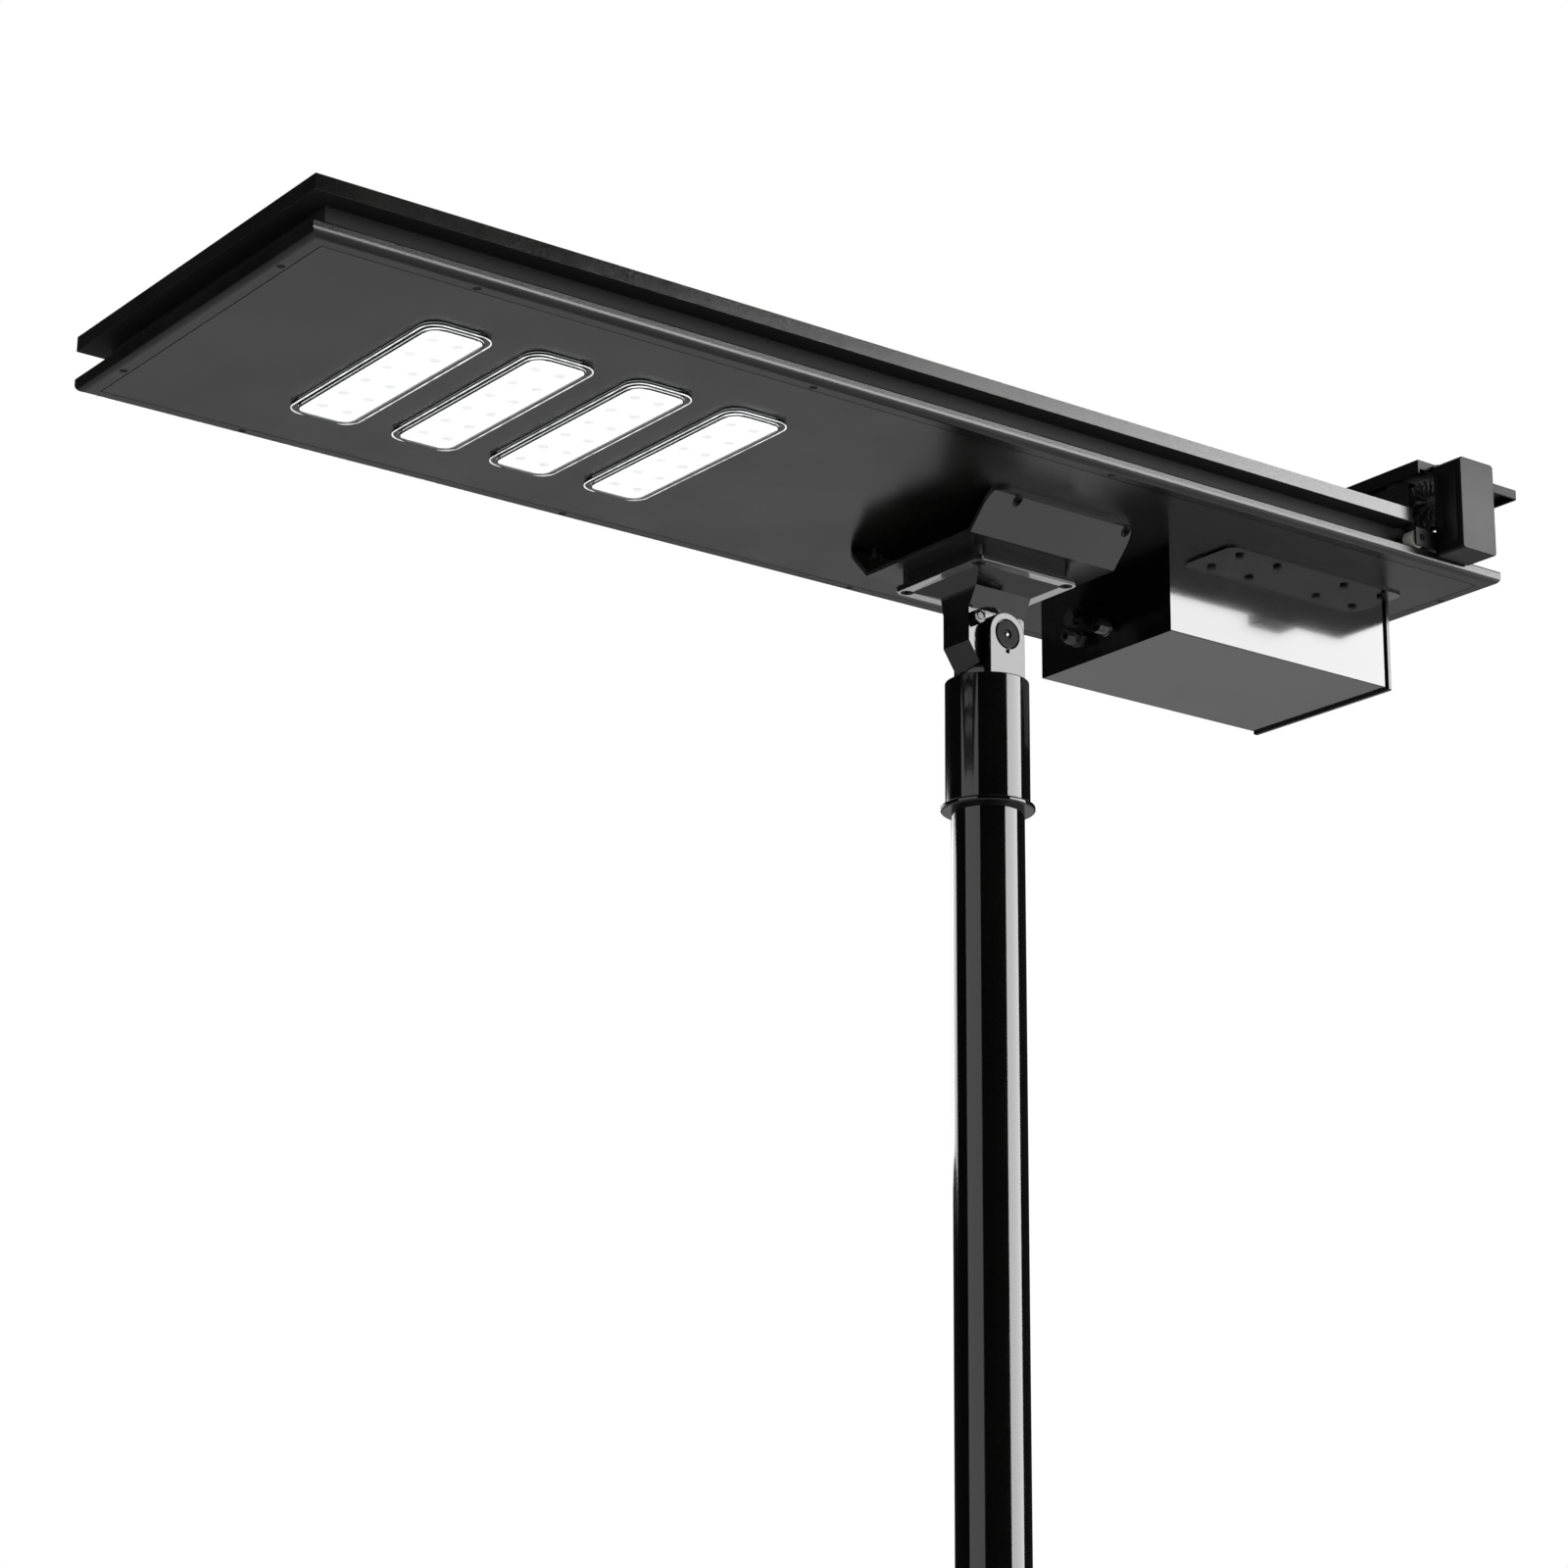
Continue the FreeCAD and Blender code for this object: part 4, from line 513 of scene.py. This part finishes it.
# %% Glass and lens
material, tree, shader, coordinates = new_material("panel_glass")
wiped = step(tree, "VectorMath", {"operation": "MULTIPLY"})
feed(tree, wiped.inputs[0], coordinates["Object"])
wiped.inputs[1].default_value = (2.0, 160.0, 2.0)
marks = step(tree, "TexNoise", Vector=wiped.outputs[0], Scale=1.0, Detail=3.0)
feed(tree, shader.inputs["Roughness"], ramp(tree, marks.outputs["Fac"], 0.35, 0.75, 0.02, 0.10))
tone = step(tree, "TexNoise", Vector=coordinates["Object"], Scale=5.0)
feed(tree, shader.inputs["Base Color"],
     blend(tree, ramp(tree, tone.outputs["Fac"], 0.4, 0.6), (0.93, 0.97, 0.96), (0.97, 0.99, 0.98)))
shader.inputs["Transmission Weight"].default_value = 1.0
shader.inputs["IOR"].default_value = 1.5
FINISH["pv_glass"] = material

material, tree, shader, coordinates = new_material("lens_clear")
haze = step(tree, "TexNoise", Vector=coordinates["Object"], Scale=60.0, Detail=3.0)
feed(tree, shader.inputs["Roughness"], ramp(tree, haze.outputs["Fac"], 0.35, 0.7, 0.02, 0.07))
feed(tree, shader.inputs["Base Color"],
     blend(tree, ramp(tree, haze.outputs["Fac"], 0.4, 0.6), (0.96, 0.97, 0.98), (0.99, 0.99, 1.0)))
shader.inputs["Transmission Weight"].default_value = 1.0
shader.inputs["IOR"].default_value = 1.49
FINISH["clear_lens"] = material
print("glass:", FINISH["pv_glass"].name, "lens:", FINISH["clear_lens"].name)

# %% [markdown]
# ## Lit LED optics
# With the lamp on, each module is a field of white light: a moulded reflector tray, with a slightly
# greyer lens over each chip. An emission that varies a little over the surface reads as a lit optic,
# where one flat value would read as paper.

# %% Light
def glow(name, low, high, strength, scale):
    """A lit white surface; the noise moves its brightness between two greys."""
    material, tree, shader, coordinates = new_material(name)
    drift = step(tree, "TexNoise", Vector=coordinates["Object"], Scale=scale, Detail=2.0)
    light = blend(tree, ramp(tree, drift.outputs["Fac"], 0.35, 0.65), (low,) * 3, (high,) * 3)
    feed(tree, shader.inputs["Base Color"], light)
    feed(tree, shader.inputs["Emission Color"], light)
    shader.inputs["Emission Strength"].default_value = strength
    shader.inputs["Roughness"].default_value = 0.4
    return material


FINISH["lit_field"] = glow("lit_reflector", 0.93, 1.0, 1.04, 40.0)
FINISH["lit_die"] = glow("lit_chip_lens", 0.72, 0.86, 0.92, 300.0)
FINISH["lit_edge"] = glow("lit_tray_wall", 0.35, 0.55, 0.8, 120.0)
FINISH["lit_rim"] = glow("lit_cover_edge", 0.45, 0.95, 0.75, 70.0)
print("lit finishes done,", len(FINISH), "in all")

# %% [markdown]
# ## Dress the CAD nodes
# Every node of the frame gets its finish. Most follow the record's material slot; some share a slot but
# are made differently, such as the rails and the bottom plate, and are named one by one.

# %% Node finishes
# The tilt bolt, screws, bolts and shaft bearings given recess_black carry painted shade.
ONE_BY_ONE = {
    "tray_rails": "rail_black", "panel_frame": "frame_black", "base_plate": "sheet_black",
    "bay_deck": "rail_black",
    "hat_bracket": "bracket_black", "battery_case": "case_black", "battery_end_cap": "sheet_black",
    "spacer_block": "gloss_black", "brush_hood": "moulded_black", "drive_housing": "moulded_black",
    "drive_cover": "moulded_black", "idler_housing": "moulded_black", "wiper_bar": "bracket_black",
    "guide_wheel_1": "white_gear", "guide_wheel_2": "white_gear", "guide_wheel_3": "white_gear",
    "junction_box": "moulded_black", "fork_cheeks": "gloss_black", "tilt_bolt": "recess_black",
    "border_screws": "recess_black", "plate_bolts": "recess_black", "bracket_bolts": "recess_black",
    "shaft_bearings": "recess_black", "motor_pinion": "moulded_black", "brush_gear": "moulded_black",
}
LIKE_SLOT = {"textured_black": "rail_black", "satin_black_steel": "bracket_black",
             "black_plastic": "moulded_black"}
used = {}
for name, thing in nodes.items():
    slots = thing.data.materials
    base = slots[0].name.split(".")[0] if slots else "gloss_black"
    finish = ONE_BY_ONE.get(name, LIKE_SLOT.get(base, base))
    thing.material_slots[0].material = FINISH[finish]
    used[finish] = used.get(finish, 0) + 1
paper_finish = moulding("floor_paper", (0.80,) * 3, (0.84,) * 3, 0.8, 0.95, 40.0, 0.0, up=0.0)
floor_mesh.materials.append(paper_finish)
print("finishes in use:", used)

# %% [markdown]
# ## Tools for small pieces
# Everything added from here on is small turned or cut hardware. A real one comes off a lathe, out of a
# header or out of a mould, so it is made the same way here: a profile spun about an axis, or a hexagon
# or block with its edges broken. Each piece is made round its own axis and put in place in its mesh.

# %% Helpers for pieces
FACING = {"up": Matrix(), "near": Matrix.Rotation(math.pi / 2, 4, "X"),
          "left": Matrix.Rotation(-math.pi / 2, 4, "Y"), "right": Matrix.Rotation(math.pi / 2, 4, "Y")}
SMOOTH_BELOW = math.radians(38)
WELD_WITHIN = 0.004 * MM


def middle_of(low, high):
    """The centre of a box, from its lowest and highest corners."""
    return [(base + top) / 2 for base, top in zip(low, high)]


def finished(part, number):
    """A part with all its faces in one of its piece's finishes, counted from 0."""
    for side in part.faces:
        side.material_index = number
    return part


def put(shape, part, place=(0.0, 0.0, 0.0), facing="up"):
    """Add a finished part to a shape, turned to face one way and moved to a place."""
    bmesh.ops.transform(part, matrix=Matrix.Translation(place) @ FACING[facing], verts=part.verts)
    spare = bpy.data.meshes.new("spare")
    part.to_mesh(spare)
    part.free()
    shape.from_mesh(spare)
    bpy.data.meshes.remove(spare)


def turned(profile, steps=32):
    """A part spun about +Z from a profile of (radius, height) points."""
    part = bmesh.new()
    dots = [part.verts.new((radius, 0.0, height)) for radius, height in profile]
    edges = [part.edges.new(pair) for pair in zip(dots, dots[1:])]
    bmesh.ops.spin(part, geom=dots + edges, cent=(0, 0, 0), axis=(0, 0, 1), angle=math.tau, steps=steps,
                   use_merge=True)
    return part


def prism(sides, radius, low, high, broken):
    """A polygonal prism along +Z with its top edges broken."""
    part = bmesh.new()
    bmesh.ops.create_cone(part, cap_ends=True, segments=sides, radius1=radius, radius2=radius,
                          depth=high - low)
    bmesh.ops.translate(part, vec=(0, 0, (low + high) / 2), verts=part.verts)
    top = [edge for edge in part.edges if all(vert.co.z > high - 1e-6 for vert in edge.verts)]
    bmesh.ops.bevel(part, geom=top, offset=broken, segments=2, profile=0.5, affect="EDGES", material=-1)
    return part


def block(low, high, radius=0.0, axis=2, segments=4):
    """A box between two corners, its edges along one axis rounded."""
    part = bmesh.new()
    size = [top - base for base, top in zip(low, high)]
    place = Matrix.Translation(middle_of(low, high))
    bmesh.ops.create_cube(part, size=1.0, matrix=place @ Matrix.Diagonal((*size, 1.0)))
    if radius:
        along = [edge for edge in part.edges
                 if abs(edge.verts[0].co[axis] - edge.verts[1].co[axis]) > size[axis] / 2]
        bmesh.ops.bevel(part, geom=along, offset=radius, segments=segments, profile=0.5,
                        affect="EDGES", material=-1)
    return part


def piece_of(name, shape, body, slot, *finishes, replaces=()):
    """A shape as an object with its finishes, riding on a body; the slot is not used."""
    bmesh.ops.remove_doubles(shape, verts=shape.verts, dist=WELD_WITHIN)
    bmesh.ops.recalc_face_normals(shape, faces=shape.faces)
    mesh = bpy.data.meshes.new(name)
    shape.to_mesh(mesh)
    shape.free()
    mesh.shade_smooth()
    mesh.set_sharp_from_angle(angle=SMOOTH_BELOW)
    for finish in finishes:
        mesh.materials.append(FINISH[finish])
    thing = bpy.data.objects.new(name, mesh)
    bpy.context.collection.objects.link(thing)
    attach(thing, body)
    if replaces:
        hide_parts(*replaces)
    return thing


# %% [markdown]
# ## LED optics
# Behind each clear cover is a white moulded tray with two rows of six small lens domes, one over each
# chip. The tray could be left as a flat lit card, but the domes are what tells a lamp from a window,
# so each is a squashed sphere just proud of the tray. The tray's own walls are dimmer than its face.
# Light also runs out sideways through the clear cover and shows at its edge, as a thin bright line
# round each module; that edge is a narrow ring of its own.

# %% LED trays
TRAY_HALF = (29.4 * MM, 125.6 * MM)
TRAY_CORNER, TRAY_UP, TRAY_GAP = 11.0 * MM, 3.4 * MM, 0.2 * MM
LENS_CORNER = 18.0 * MM
RIM_WIDE, RIM_HIGH, RIM_UP = 1.3 * MM, 0.5 * MM, 2.4 * MM
DOME_ROWS, DOMES_IN_ROW = 2, 6
ROW_PITCH, DOME_PITCH = 27.0 * MM, 40.0 * MM
DOME_RADIUS, DOME_SQUASH, DOME_PROUD = 6.0 * MM, 0.16, 0.1 * MM
board_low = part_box("led_boards")[0][2]
for number in range(1, 5):
    lens_low, lens_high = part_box(f"led_lens_{number}")
    middle = (lens_low[0] + lens_high[0]) / 2
    face = lens_low[2] + TRAY_UP
    tray = block((middle - TRAY_HALF[0], -TRAY_HALF[1], face),
                 (middle + TRAY_HALF[0], TRAY_HALF[1], board_low - TRAY_GAP), TRAY_CORNER)
    for side in tray.faces:
        side.material_index = 0 if side.normal.z < -0.5 else 2
    for row in range(DOME_ROWS):
        for spot in range(DOMES_IN_ROW):
            dome = bmesh.new()
            bmesh.ops.create_uvsphere(dome, u_segments=18, v_segments=8, radius=DOME_RADIUS)
            bmesh.ops.scale(dome, vec=(1.0, 1.0, DOME_SQUASH), verts=dome.verts)
            place = (middle + (row - (DOME_ROWS - 1) / 2) * ROW_PITCH,
                     (spot - (DOMES_IN_ROW - 1) / 2) * DOME_PITCH, face + DOME_PROUD)
            put(tray, finished(dome, 1), place)
    piece_of(f"led_tray_{number}", tray, "head", "led_board", "lit_field", "lit_die", "lit_edge")

    rim = bmesh.new()
    outline = block((lens_low[0], lens_low[1], 0.0), (lens_high[0], lens_high[1], RIM_HIGH),
                    LENS_CORNER, segments=8)
    flat = [side for side in outline.faces if abs(side.normal.z) > 0.9]
    bmesh.ops.inset_region(outline, faces=flat, thickness=RIM_WIDE)
    caps = [side for side in outline.faces if abs(side.normal.z) > 0.9 and len(side.verts) > 8]
    loops = [edge for side in caps for edge in side.edges]
    bmesh.ops.delete(outline, geom=caps, context="FACES_ONLY")
    bmesh.ops.bridge_loops(outline, edges=loops)
    put(rim, outline, (0.0, 0.0, lens_low[2] + RIM_UP))
    piece_of(f"lens_rim_{number}", rim, "head", "clear_lens", "lit_rim")
print("LED trays: 4, domes each:", DOME_ROWS * DOMES_IN_ROW)

# %% [markdown]
# ## Brush
# The brush is a steel shaft with nylon tufts stapled into drilled holes that wind round it. The CAD
# body is the plain cylinder the tufts sweep; here it gives way to the tufts themselves. Hair particles
# would do it too, but a few straight four-sided strands in each tuft are lighter and stay solid.

# %% Tufts
random.seed(7)
bristle_low, bristle_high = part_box("brush_bristles")
shaft_low, shaft_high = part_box("brush_shaft")
brush_x, _, brush_z = middle_of(bristle_low, bristle_high)
TIP = (bristle_high[2] - bristle_low[2]) / 2
ROOT = (shaft_high[2] - shaft_low[2]) / 2 - 0.5 * MM
RINGS, TUFTS_ROUND, STRANDS = 78, 14, 3
END_GAP, RING_TWIST = 3.0 * MM, 0.11
LEAN, SCATTER, SHORTEST, LONGEST = 0.07, 1.6, 0.93, 0.985
STRAND_FOOT, STRAND_TIP = 0.9 * MM, 0.55 * MM
brush = bmesh.new()
first = bristle_low[1] + END_GAP
pitch = (bristle_high[1] - bristle_low[1] - 2 * END_GAP) / (RINGS - 1)
for ring in range(RINGS):
    for tuft in range(TUFTS_ROUND):
        angle = math.tau * (tuft + 0.5 * (ring % 2)) / TUFTS_ROUND + ring * RING_TWIST
        for strand in range(STRANDS):
            lean = random.uniform(-LEAN, LEAN)
            reach = TIP * random.uniform(SHORTEST, LONGEST)
            aside = random.uniform(-SCATTER, SCATTER) * MM
            hair = bmesh.new()
            bmesh.ops.create_cone(hair, cap_ends=True, segments=4, radius1=STRAND_FOOT,
                                  radius2=STRAND_TIP, depth=reach - ROOT)
            bmesh.ops.translate(hair, vec=(0.0, aside, (reach + ROOT) / 2), verts=hair.verts)
            bmesh.ops.rotate(hair, cent=(0, 0, 0), matrix=Matrix.Rotation(angle + lean, 3, "Y"),
                             verts=hair.verts)
            put(brush, hair, (brush_x, first + ring * pitch, brush_z))
piece_of("bristle_tufts", brush, "brush", "bristle", "bristle", replaces=("brush_bristles",))
print("tufts:", RINGS * TUFTS_ROUND, "strands:", RINGS * TUFTS_ROUND * STRANDS)

# %% [markdown]
# ## Tilt bolt and lock bolt
# The big cap screw that the head tilts on sits in a deep recess, so only its ground rim and the pip in
# its socket catch the light. The lock bolt beside it is a forged hex head with a turned washer face and
# broken corners. A plain hexagon shows neither, so the head is a bevelled prism between turned discs.

# %% Bolt details
bolt_low, bolt_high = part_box("tilt_bolt")
bolt_radius = (bolt_high[2] - bolt_low[2]) / 2
bolt_face = (0.0, bolt_low[1], middle_of(bolt_low, bolt_high)[2])
ring = bmesh.new()
put(ring, turned([(bolt_radius - 0.5 * MM, -0.6 * MM), (bolt_radius - 0.4 * MM, 0.1 * MM),
                  (bolt_radius, -0.1 * MM), (bolt_radius, -0.6 * MM)], 48), bolt_face, "near")
pip = turned([(2.3 * MM, -3.0 * MM), (2.3 * MM, -0.9 * MM), (1.5 * MM, -0.2 * MM), (0.0, 0.0)], 24)
put(ring, finished(pip, 1), bolt_face, "near")
piece_of("tilt_bolt_rim", ring, "sleeve", "bolt_steel", "zinc_steel", "bright_steel")

WASHER_TOP, HEX_TOP, CROWN_TOP, LOCK_REACH = 1.2 * MM, 8.2 * MM, 8.8 * MM, 9.0 * MM
lock_low, lock_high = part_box("lock_bolt")
lock_x, _, lock_z = middle_of(lock_low, lock_high)
lock_radius = (lock_high[0] - lock_low[0]) / 2
washer_radius = lock_radius * 0.86
lock = prism(6, lock_radius, WASHER_TOP, HEX_TOP, 0.9 * MM)
put(lock, turned([(0.0, 0.0), (washer_radius, 0.0), (washer_radius, WASHER_TOP), (0.0, WASHER_TOP)], 36))
put(lock, turned([(0.0, HEX_TOP), (lock_radius * 0.5, HEX_TOP), (lock_radius * 0.42, CROWN_TOP),
                  (0.0, CROWN_TOP)], 24))
lock_bolt = bmesh.new()
put(lock_bolt, lock, (lock_x, lock_low[1] + LOCK_REACH, lock_z), "near")
piece_of("lock_bolt_head", lock_bolt, "head", "bolt_steel", "bolt_steel", replaces=("lock_bolt",))
print("tilt bolt rim radius", round(bolt_radius * 1000, 1), "mm")
print("lock bolt head across", round(lock_radius * 2000, 1), "mm")

# %% [markdown]
# ## Weld bead at the foot
# The tube is welded to its plate all round, and the weld shows as a row of overlapping ripples. A smooth
# fillet would look cast. So the bead is a small ring whose thickness swells and sinks, one ripple for
# every few millimetres of arc, made by spinning a quarter profile and pushing its rings in and out.

# %% Weld bead
BEAD_HIGH, BEAD_WIDE, BEAD_STEPS = 6.0 * MM, 6.0 * MM, 240
RIPPLES, RIPPLE_DEPTH = 40, 0.11
pole_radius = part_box("pole_tube")[1][0]
plate_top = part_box("foot_flange")[1][2]
bead = turned([(pole_radius - 0.5 * MM, BEAD_HIGH), (pole_radius + 2.2 * MM, 5.2 * MM),
               (pole_radius + 4.6 * MM, 3.4 * MM), (pole_radius + BEAD_WIDE, 0.0)], BEAD_STEPS)
for vert in bead.verts:
    away = math.hypot(vert.co.x, vert.co.y)
    wave = abs(math.sin(RIPPLES / 2 * math.atan2(vert.co.y, vert.co.x)))
    ripple = 1.0 + RIPPLE_DEPTH * wave * (away - pole_radius) / BEAD_WIDE
    vert.co.x = vert.co.x / away * (pole_radius + (away - pole_radius) * ripple)
    vert.co.y = vert.co.y / away * (pole_radius + (away - pole_radius) * ripple)
weld = bmesh.new()
put(weld, bead, (0.0, 0.0, plate_top))
piece_of("foot_weld", weld, "pole", "gloss_black", "gloss_black")
print("weld bead round a", round(pole_radius * 2000), "mm tube")

# %% [markdown]
# ## Gland, socket and end-cap screws
# The cable gland is a domed nut screwed over a threaded body, with flats for a spanner and a rubber
# throat; the charge socket is a threaded collar with a pin block inside. Moulded threads this small are
# just rings, so the profiles carry ridges and are spun whole. The battery's end cap is held by four
# pan-head screws.

# %% Gland and socket
NUT_TOP, BARREL_TOP, CAP_TOP = 6.0 * MM, 9.0 * MM, 15.0 * MM
FLATS_BROKEN, THROAT_DEEP = 0.8 * MM, 6.0 * MM
PINS, PIN_CIRCLE, PIN_RADIUS, PIN_BELOW = 5, 4.0 * MM, 0.8 * MM, 3.0 * MM
SOCKET_DEEP = 7.0 * MM
gland_low, gland_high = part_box("cable_gland")
socket_low, socket_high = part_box("charge_socket")
wall_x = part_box("battery_case")[0][0]
gland_reach = wall_x - gland_low[0]
socket_reach = wall_x - socket_low[0]


def threaded(radius, start, end, ridges, depth):
    """Profile points of a ridged barrel from one height to another."""
    points = []
    for ridge in range(ridges):
        height = start + (end - start) * ridge / ridges
        step_up = (end - start) / ridges / 2
        points += [(radius - depth, height), (radius, height + step_up)]
    return points + [(radius - depth, end)]


gland = bmesh.new()
gland_centre = (wall_x, *middle_of(gland_low, gland_high)[1:])
barrel = threaded(8.6 * MM, NUT_TOP, BARREL_TOP, 3, 0.6 * MM)
throat = gland_reach - THROAT_DEEP
put(gland, prism(6, 10.2 * MM, 0.0, NUT_TOP, FLATS_BROKEN), gland_centre, "left")
put(gland, turned([(0.0, NUT_TOP)] + barrel + [(0.0, BARREL_TOP)], 36), gland_centre, "left")
put(gland, prism(8, 9.8 * MM, BARREL_TOP, CAP_TOP, FLATS_BROKEN), gland_centre, "left")
put(gland, turned([(9.0 * MM, CAP_TOP), (8.2 * MM, 18.0 * MM), (6.6 * MM, gland_reach),
                   (4.2 * MM, gland_reach), (3.8 * MM, throat), (0.0, throat)], 36),
    gland_centre, "left")
piece_of("gland_nut", gland, "head", "black_plastic", "button_plastic", replaces=("cable_gland",))

socket = bmesh.new()
socket_centre = (wall_x, *middle_of(socket_low, socket_high)[1:])
socket_floor = socket_reach - SOCKET_DEEP
put(socket, turned([(0.0, 0.0), (10.4 * MM, 0.0), (10.4 * MM, 1.6 * MM), (9.8 * MM, 2.2 * MM)]
                   + threaded(8.8 * MM, 2.4 * MM, socket_reach - 0.6 * MM, 6, 0.5 * MM)
                   + [(7.8 * MM, socket_reach), (6.8 * MM, socket_reach), (6.6 * MM, socket_floor),
                      (0.0, socket_floor)], 40), socket_centre, "left")
for turn in range(PINS):
    angle = math.tau * turn / PINS
    pin = prism(12, PIN_RADIUS, socket_floor, socket_reach - PIN_BELOW, 0.3 * MM)
    bmesh.ops.translate(pin, vec=(PIN_CIRCLE * math.cos(angle), PIN_CIRCLE * math.sin(angle), 0.0),
                        verts=pin.verts)
    put(socket, finished(pin, 1), socket_centre, "left")
piece_of("charge_socket_collar", socket, "head", "zinc_steel", "zinc_steel", "bright_steel",
         replaces=("charge_socket",))
print("gland reach", round(gland_reach * 1000), "mm, socket reach", round(socket_reach * 1000), "mm")
print("socket pins:", PINS)

# %% End-cap screws
SCREW_RADIUS, SCREW_HIGH, SCREW_SUNK = 3.4 * MM, 2.0 * MM, 0.4 * MM
SCREW_INSET, SCREW_BELOW_TOP = 12 * MM, 14 * MM


def only(kind, geometry):
    """The vertices or the edges among what an operator gave back."""
    return [item for item in geometry if isinstance(item, kind)]


def pan_head(radius, high):
    """A domed screw head with a round socket sunk in its top."""
    mouth = radius * 0.55
    head = turned([(radius, 0.0), (radius, high * 0.35), (radius * 0.8, high * 0.85), (mouth, high)], 24)
    well = bmesh.new()
    bmesh.ops.create_circle(well, cap_ends=False, segments=24, radius=mouth)
    bmesh.ops.translate(well, vec=(0, 0, high), verts=well.verts)
    lip = bmesh.ops.extrude_edge_only(well, edges=well.edges[:])["geom"]
    bmesh.ops.scale(well, vec=(0.82, 0.82, 1.0), verts=only(bmesh.types.BMVert, lip))
    drop = bmesh.ops.extrude_edge_only(well, edges=only(bmesh.types.BMEdge, lip))["geom"]
    low = only(bmesh.types.BMVert, drop)
    bmesh.ops.translate(well, vec=(0, 0, -high * 0.7), verts=low)
    bmesh.ops.contextual_create(well, geom=low)
    put(head, well)
    return head


cap_low, cap_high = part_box("battery_end_cap")
cap_screws = bmesh.new()
for across in (-1, 1):
    for height in (cap_low[2] + SCREW_INSET, cap_high[2] - SCREW_BELOW_TOP):
        spot = (cap_high[0] - SCREW_SUNK, across * (cap_high[1] - SCREW_INSET), height)
        put(cap_screws, pan_head(SCREW_RADIUS, SCREW_HIGH), spot, "right")
piece_of("end_cap_screws", cap_screws, "head", "black_screw", "black_screw")
print("end cap screws: 4")

# %% [markdown]
# ## Drive box panel
# The drive box is moulded with a shallow raised panel on its left face, which stiffens the thin wall. A
# bump could fake it, but its edge would vanish from the side, so it is a rounded plate a fraction of a
# millimetre proud.

# %% Drive box panel
PANEL_INSET, PANEL_WIDE, PANEL_MARGIN = 5 * MM, 26 * MM, 9 * MM
PANEL_PROUD, PANEL_SUNK, PANEL_CORNER = 0.6 * MM, 0.4 * MM, 5.0 * MM
box_low, box_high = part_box("drive_cover")
face_x = box_low[0]
panel_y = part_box("drive_housing")[0][1] + PANEL_INSET
panel = block((face_x - PANEL_PROUD, panel_y, box_low[2] + PANEL_MARGIN),
              (face_x + PANEL_SUNK, panel_y + PANEL_WIDE, box_high[2] - PANEL_MARGIN),
              PANEL_CORNER, axis=0)
front = [edge for edge in panel.edges if all(vert.co.x < face_x - 0.5 * MM for vert in edge.verts)]
bmesh.ops.bevel(panel, geom=front, offset=0.4 * MM, segments=2, profile=0.5, affect="EDGES", material=-1)
piece_of("drive_box_panel", panel, "carriage", "black_plastic", "moulded_black")
print("drive box panel:", round(PANEL_WIDE * 1000), "mm wide,",
      round((box_high[2] - box_low[2] - 2 * PANEL_MARGIN) * 1000), "mm high")

# %% [markdown]
# ## Size against the CAD model
# The visual model's box is compared with the box that the CAD model fills, and how far it grows past it
# is printed.

# %% Sizes and finish
visual_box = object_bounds()
grown = max(max(low - new for low, new in zip(cad_box[0], visual_box[0])),
            max(new - high for high, new in zip(cad_box[1], visual_box[1])))
print("the visual model grows past the CAD box by", round(grown * 1000, 3), "mm")
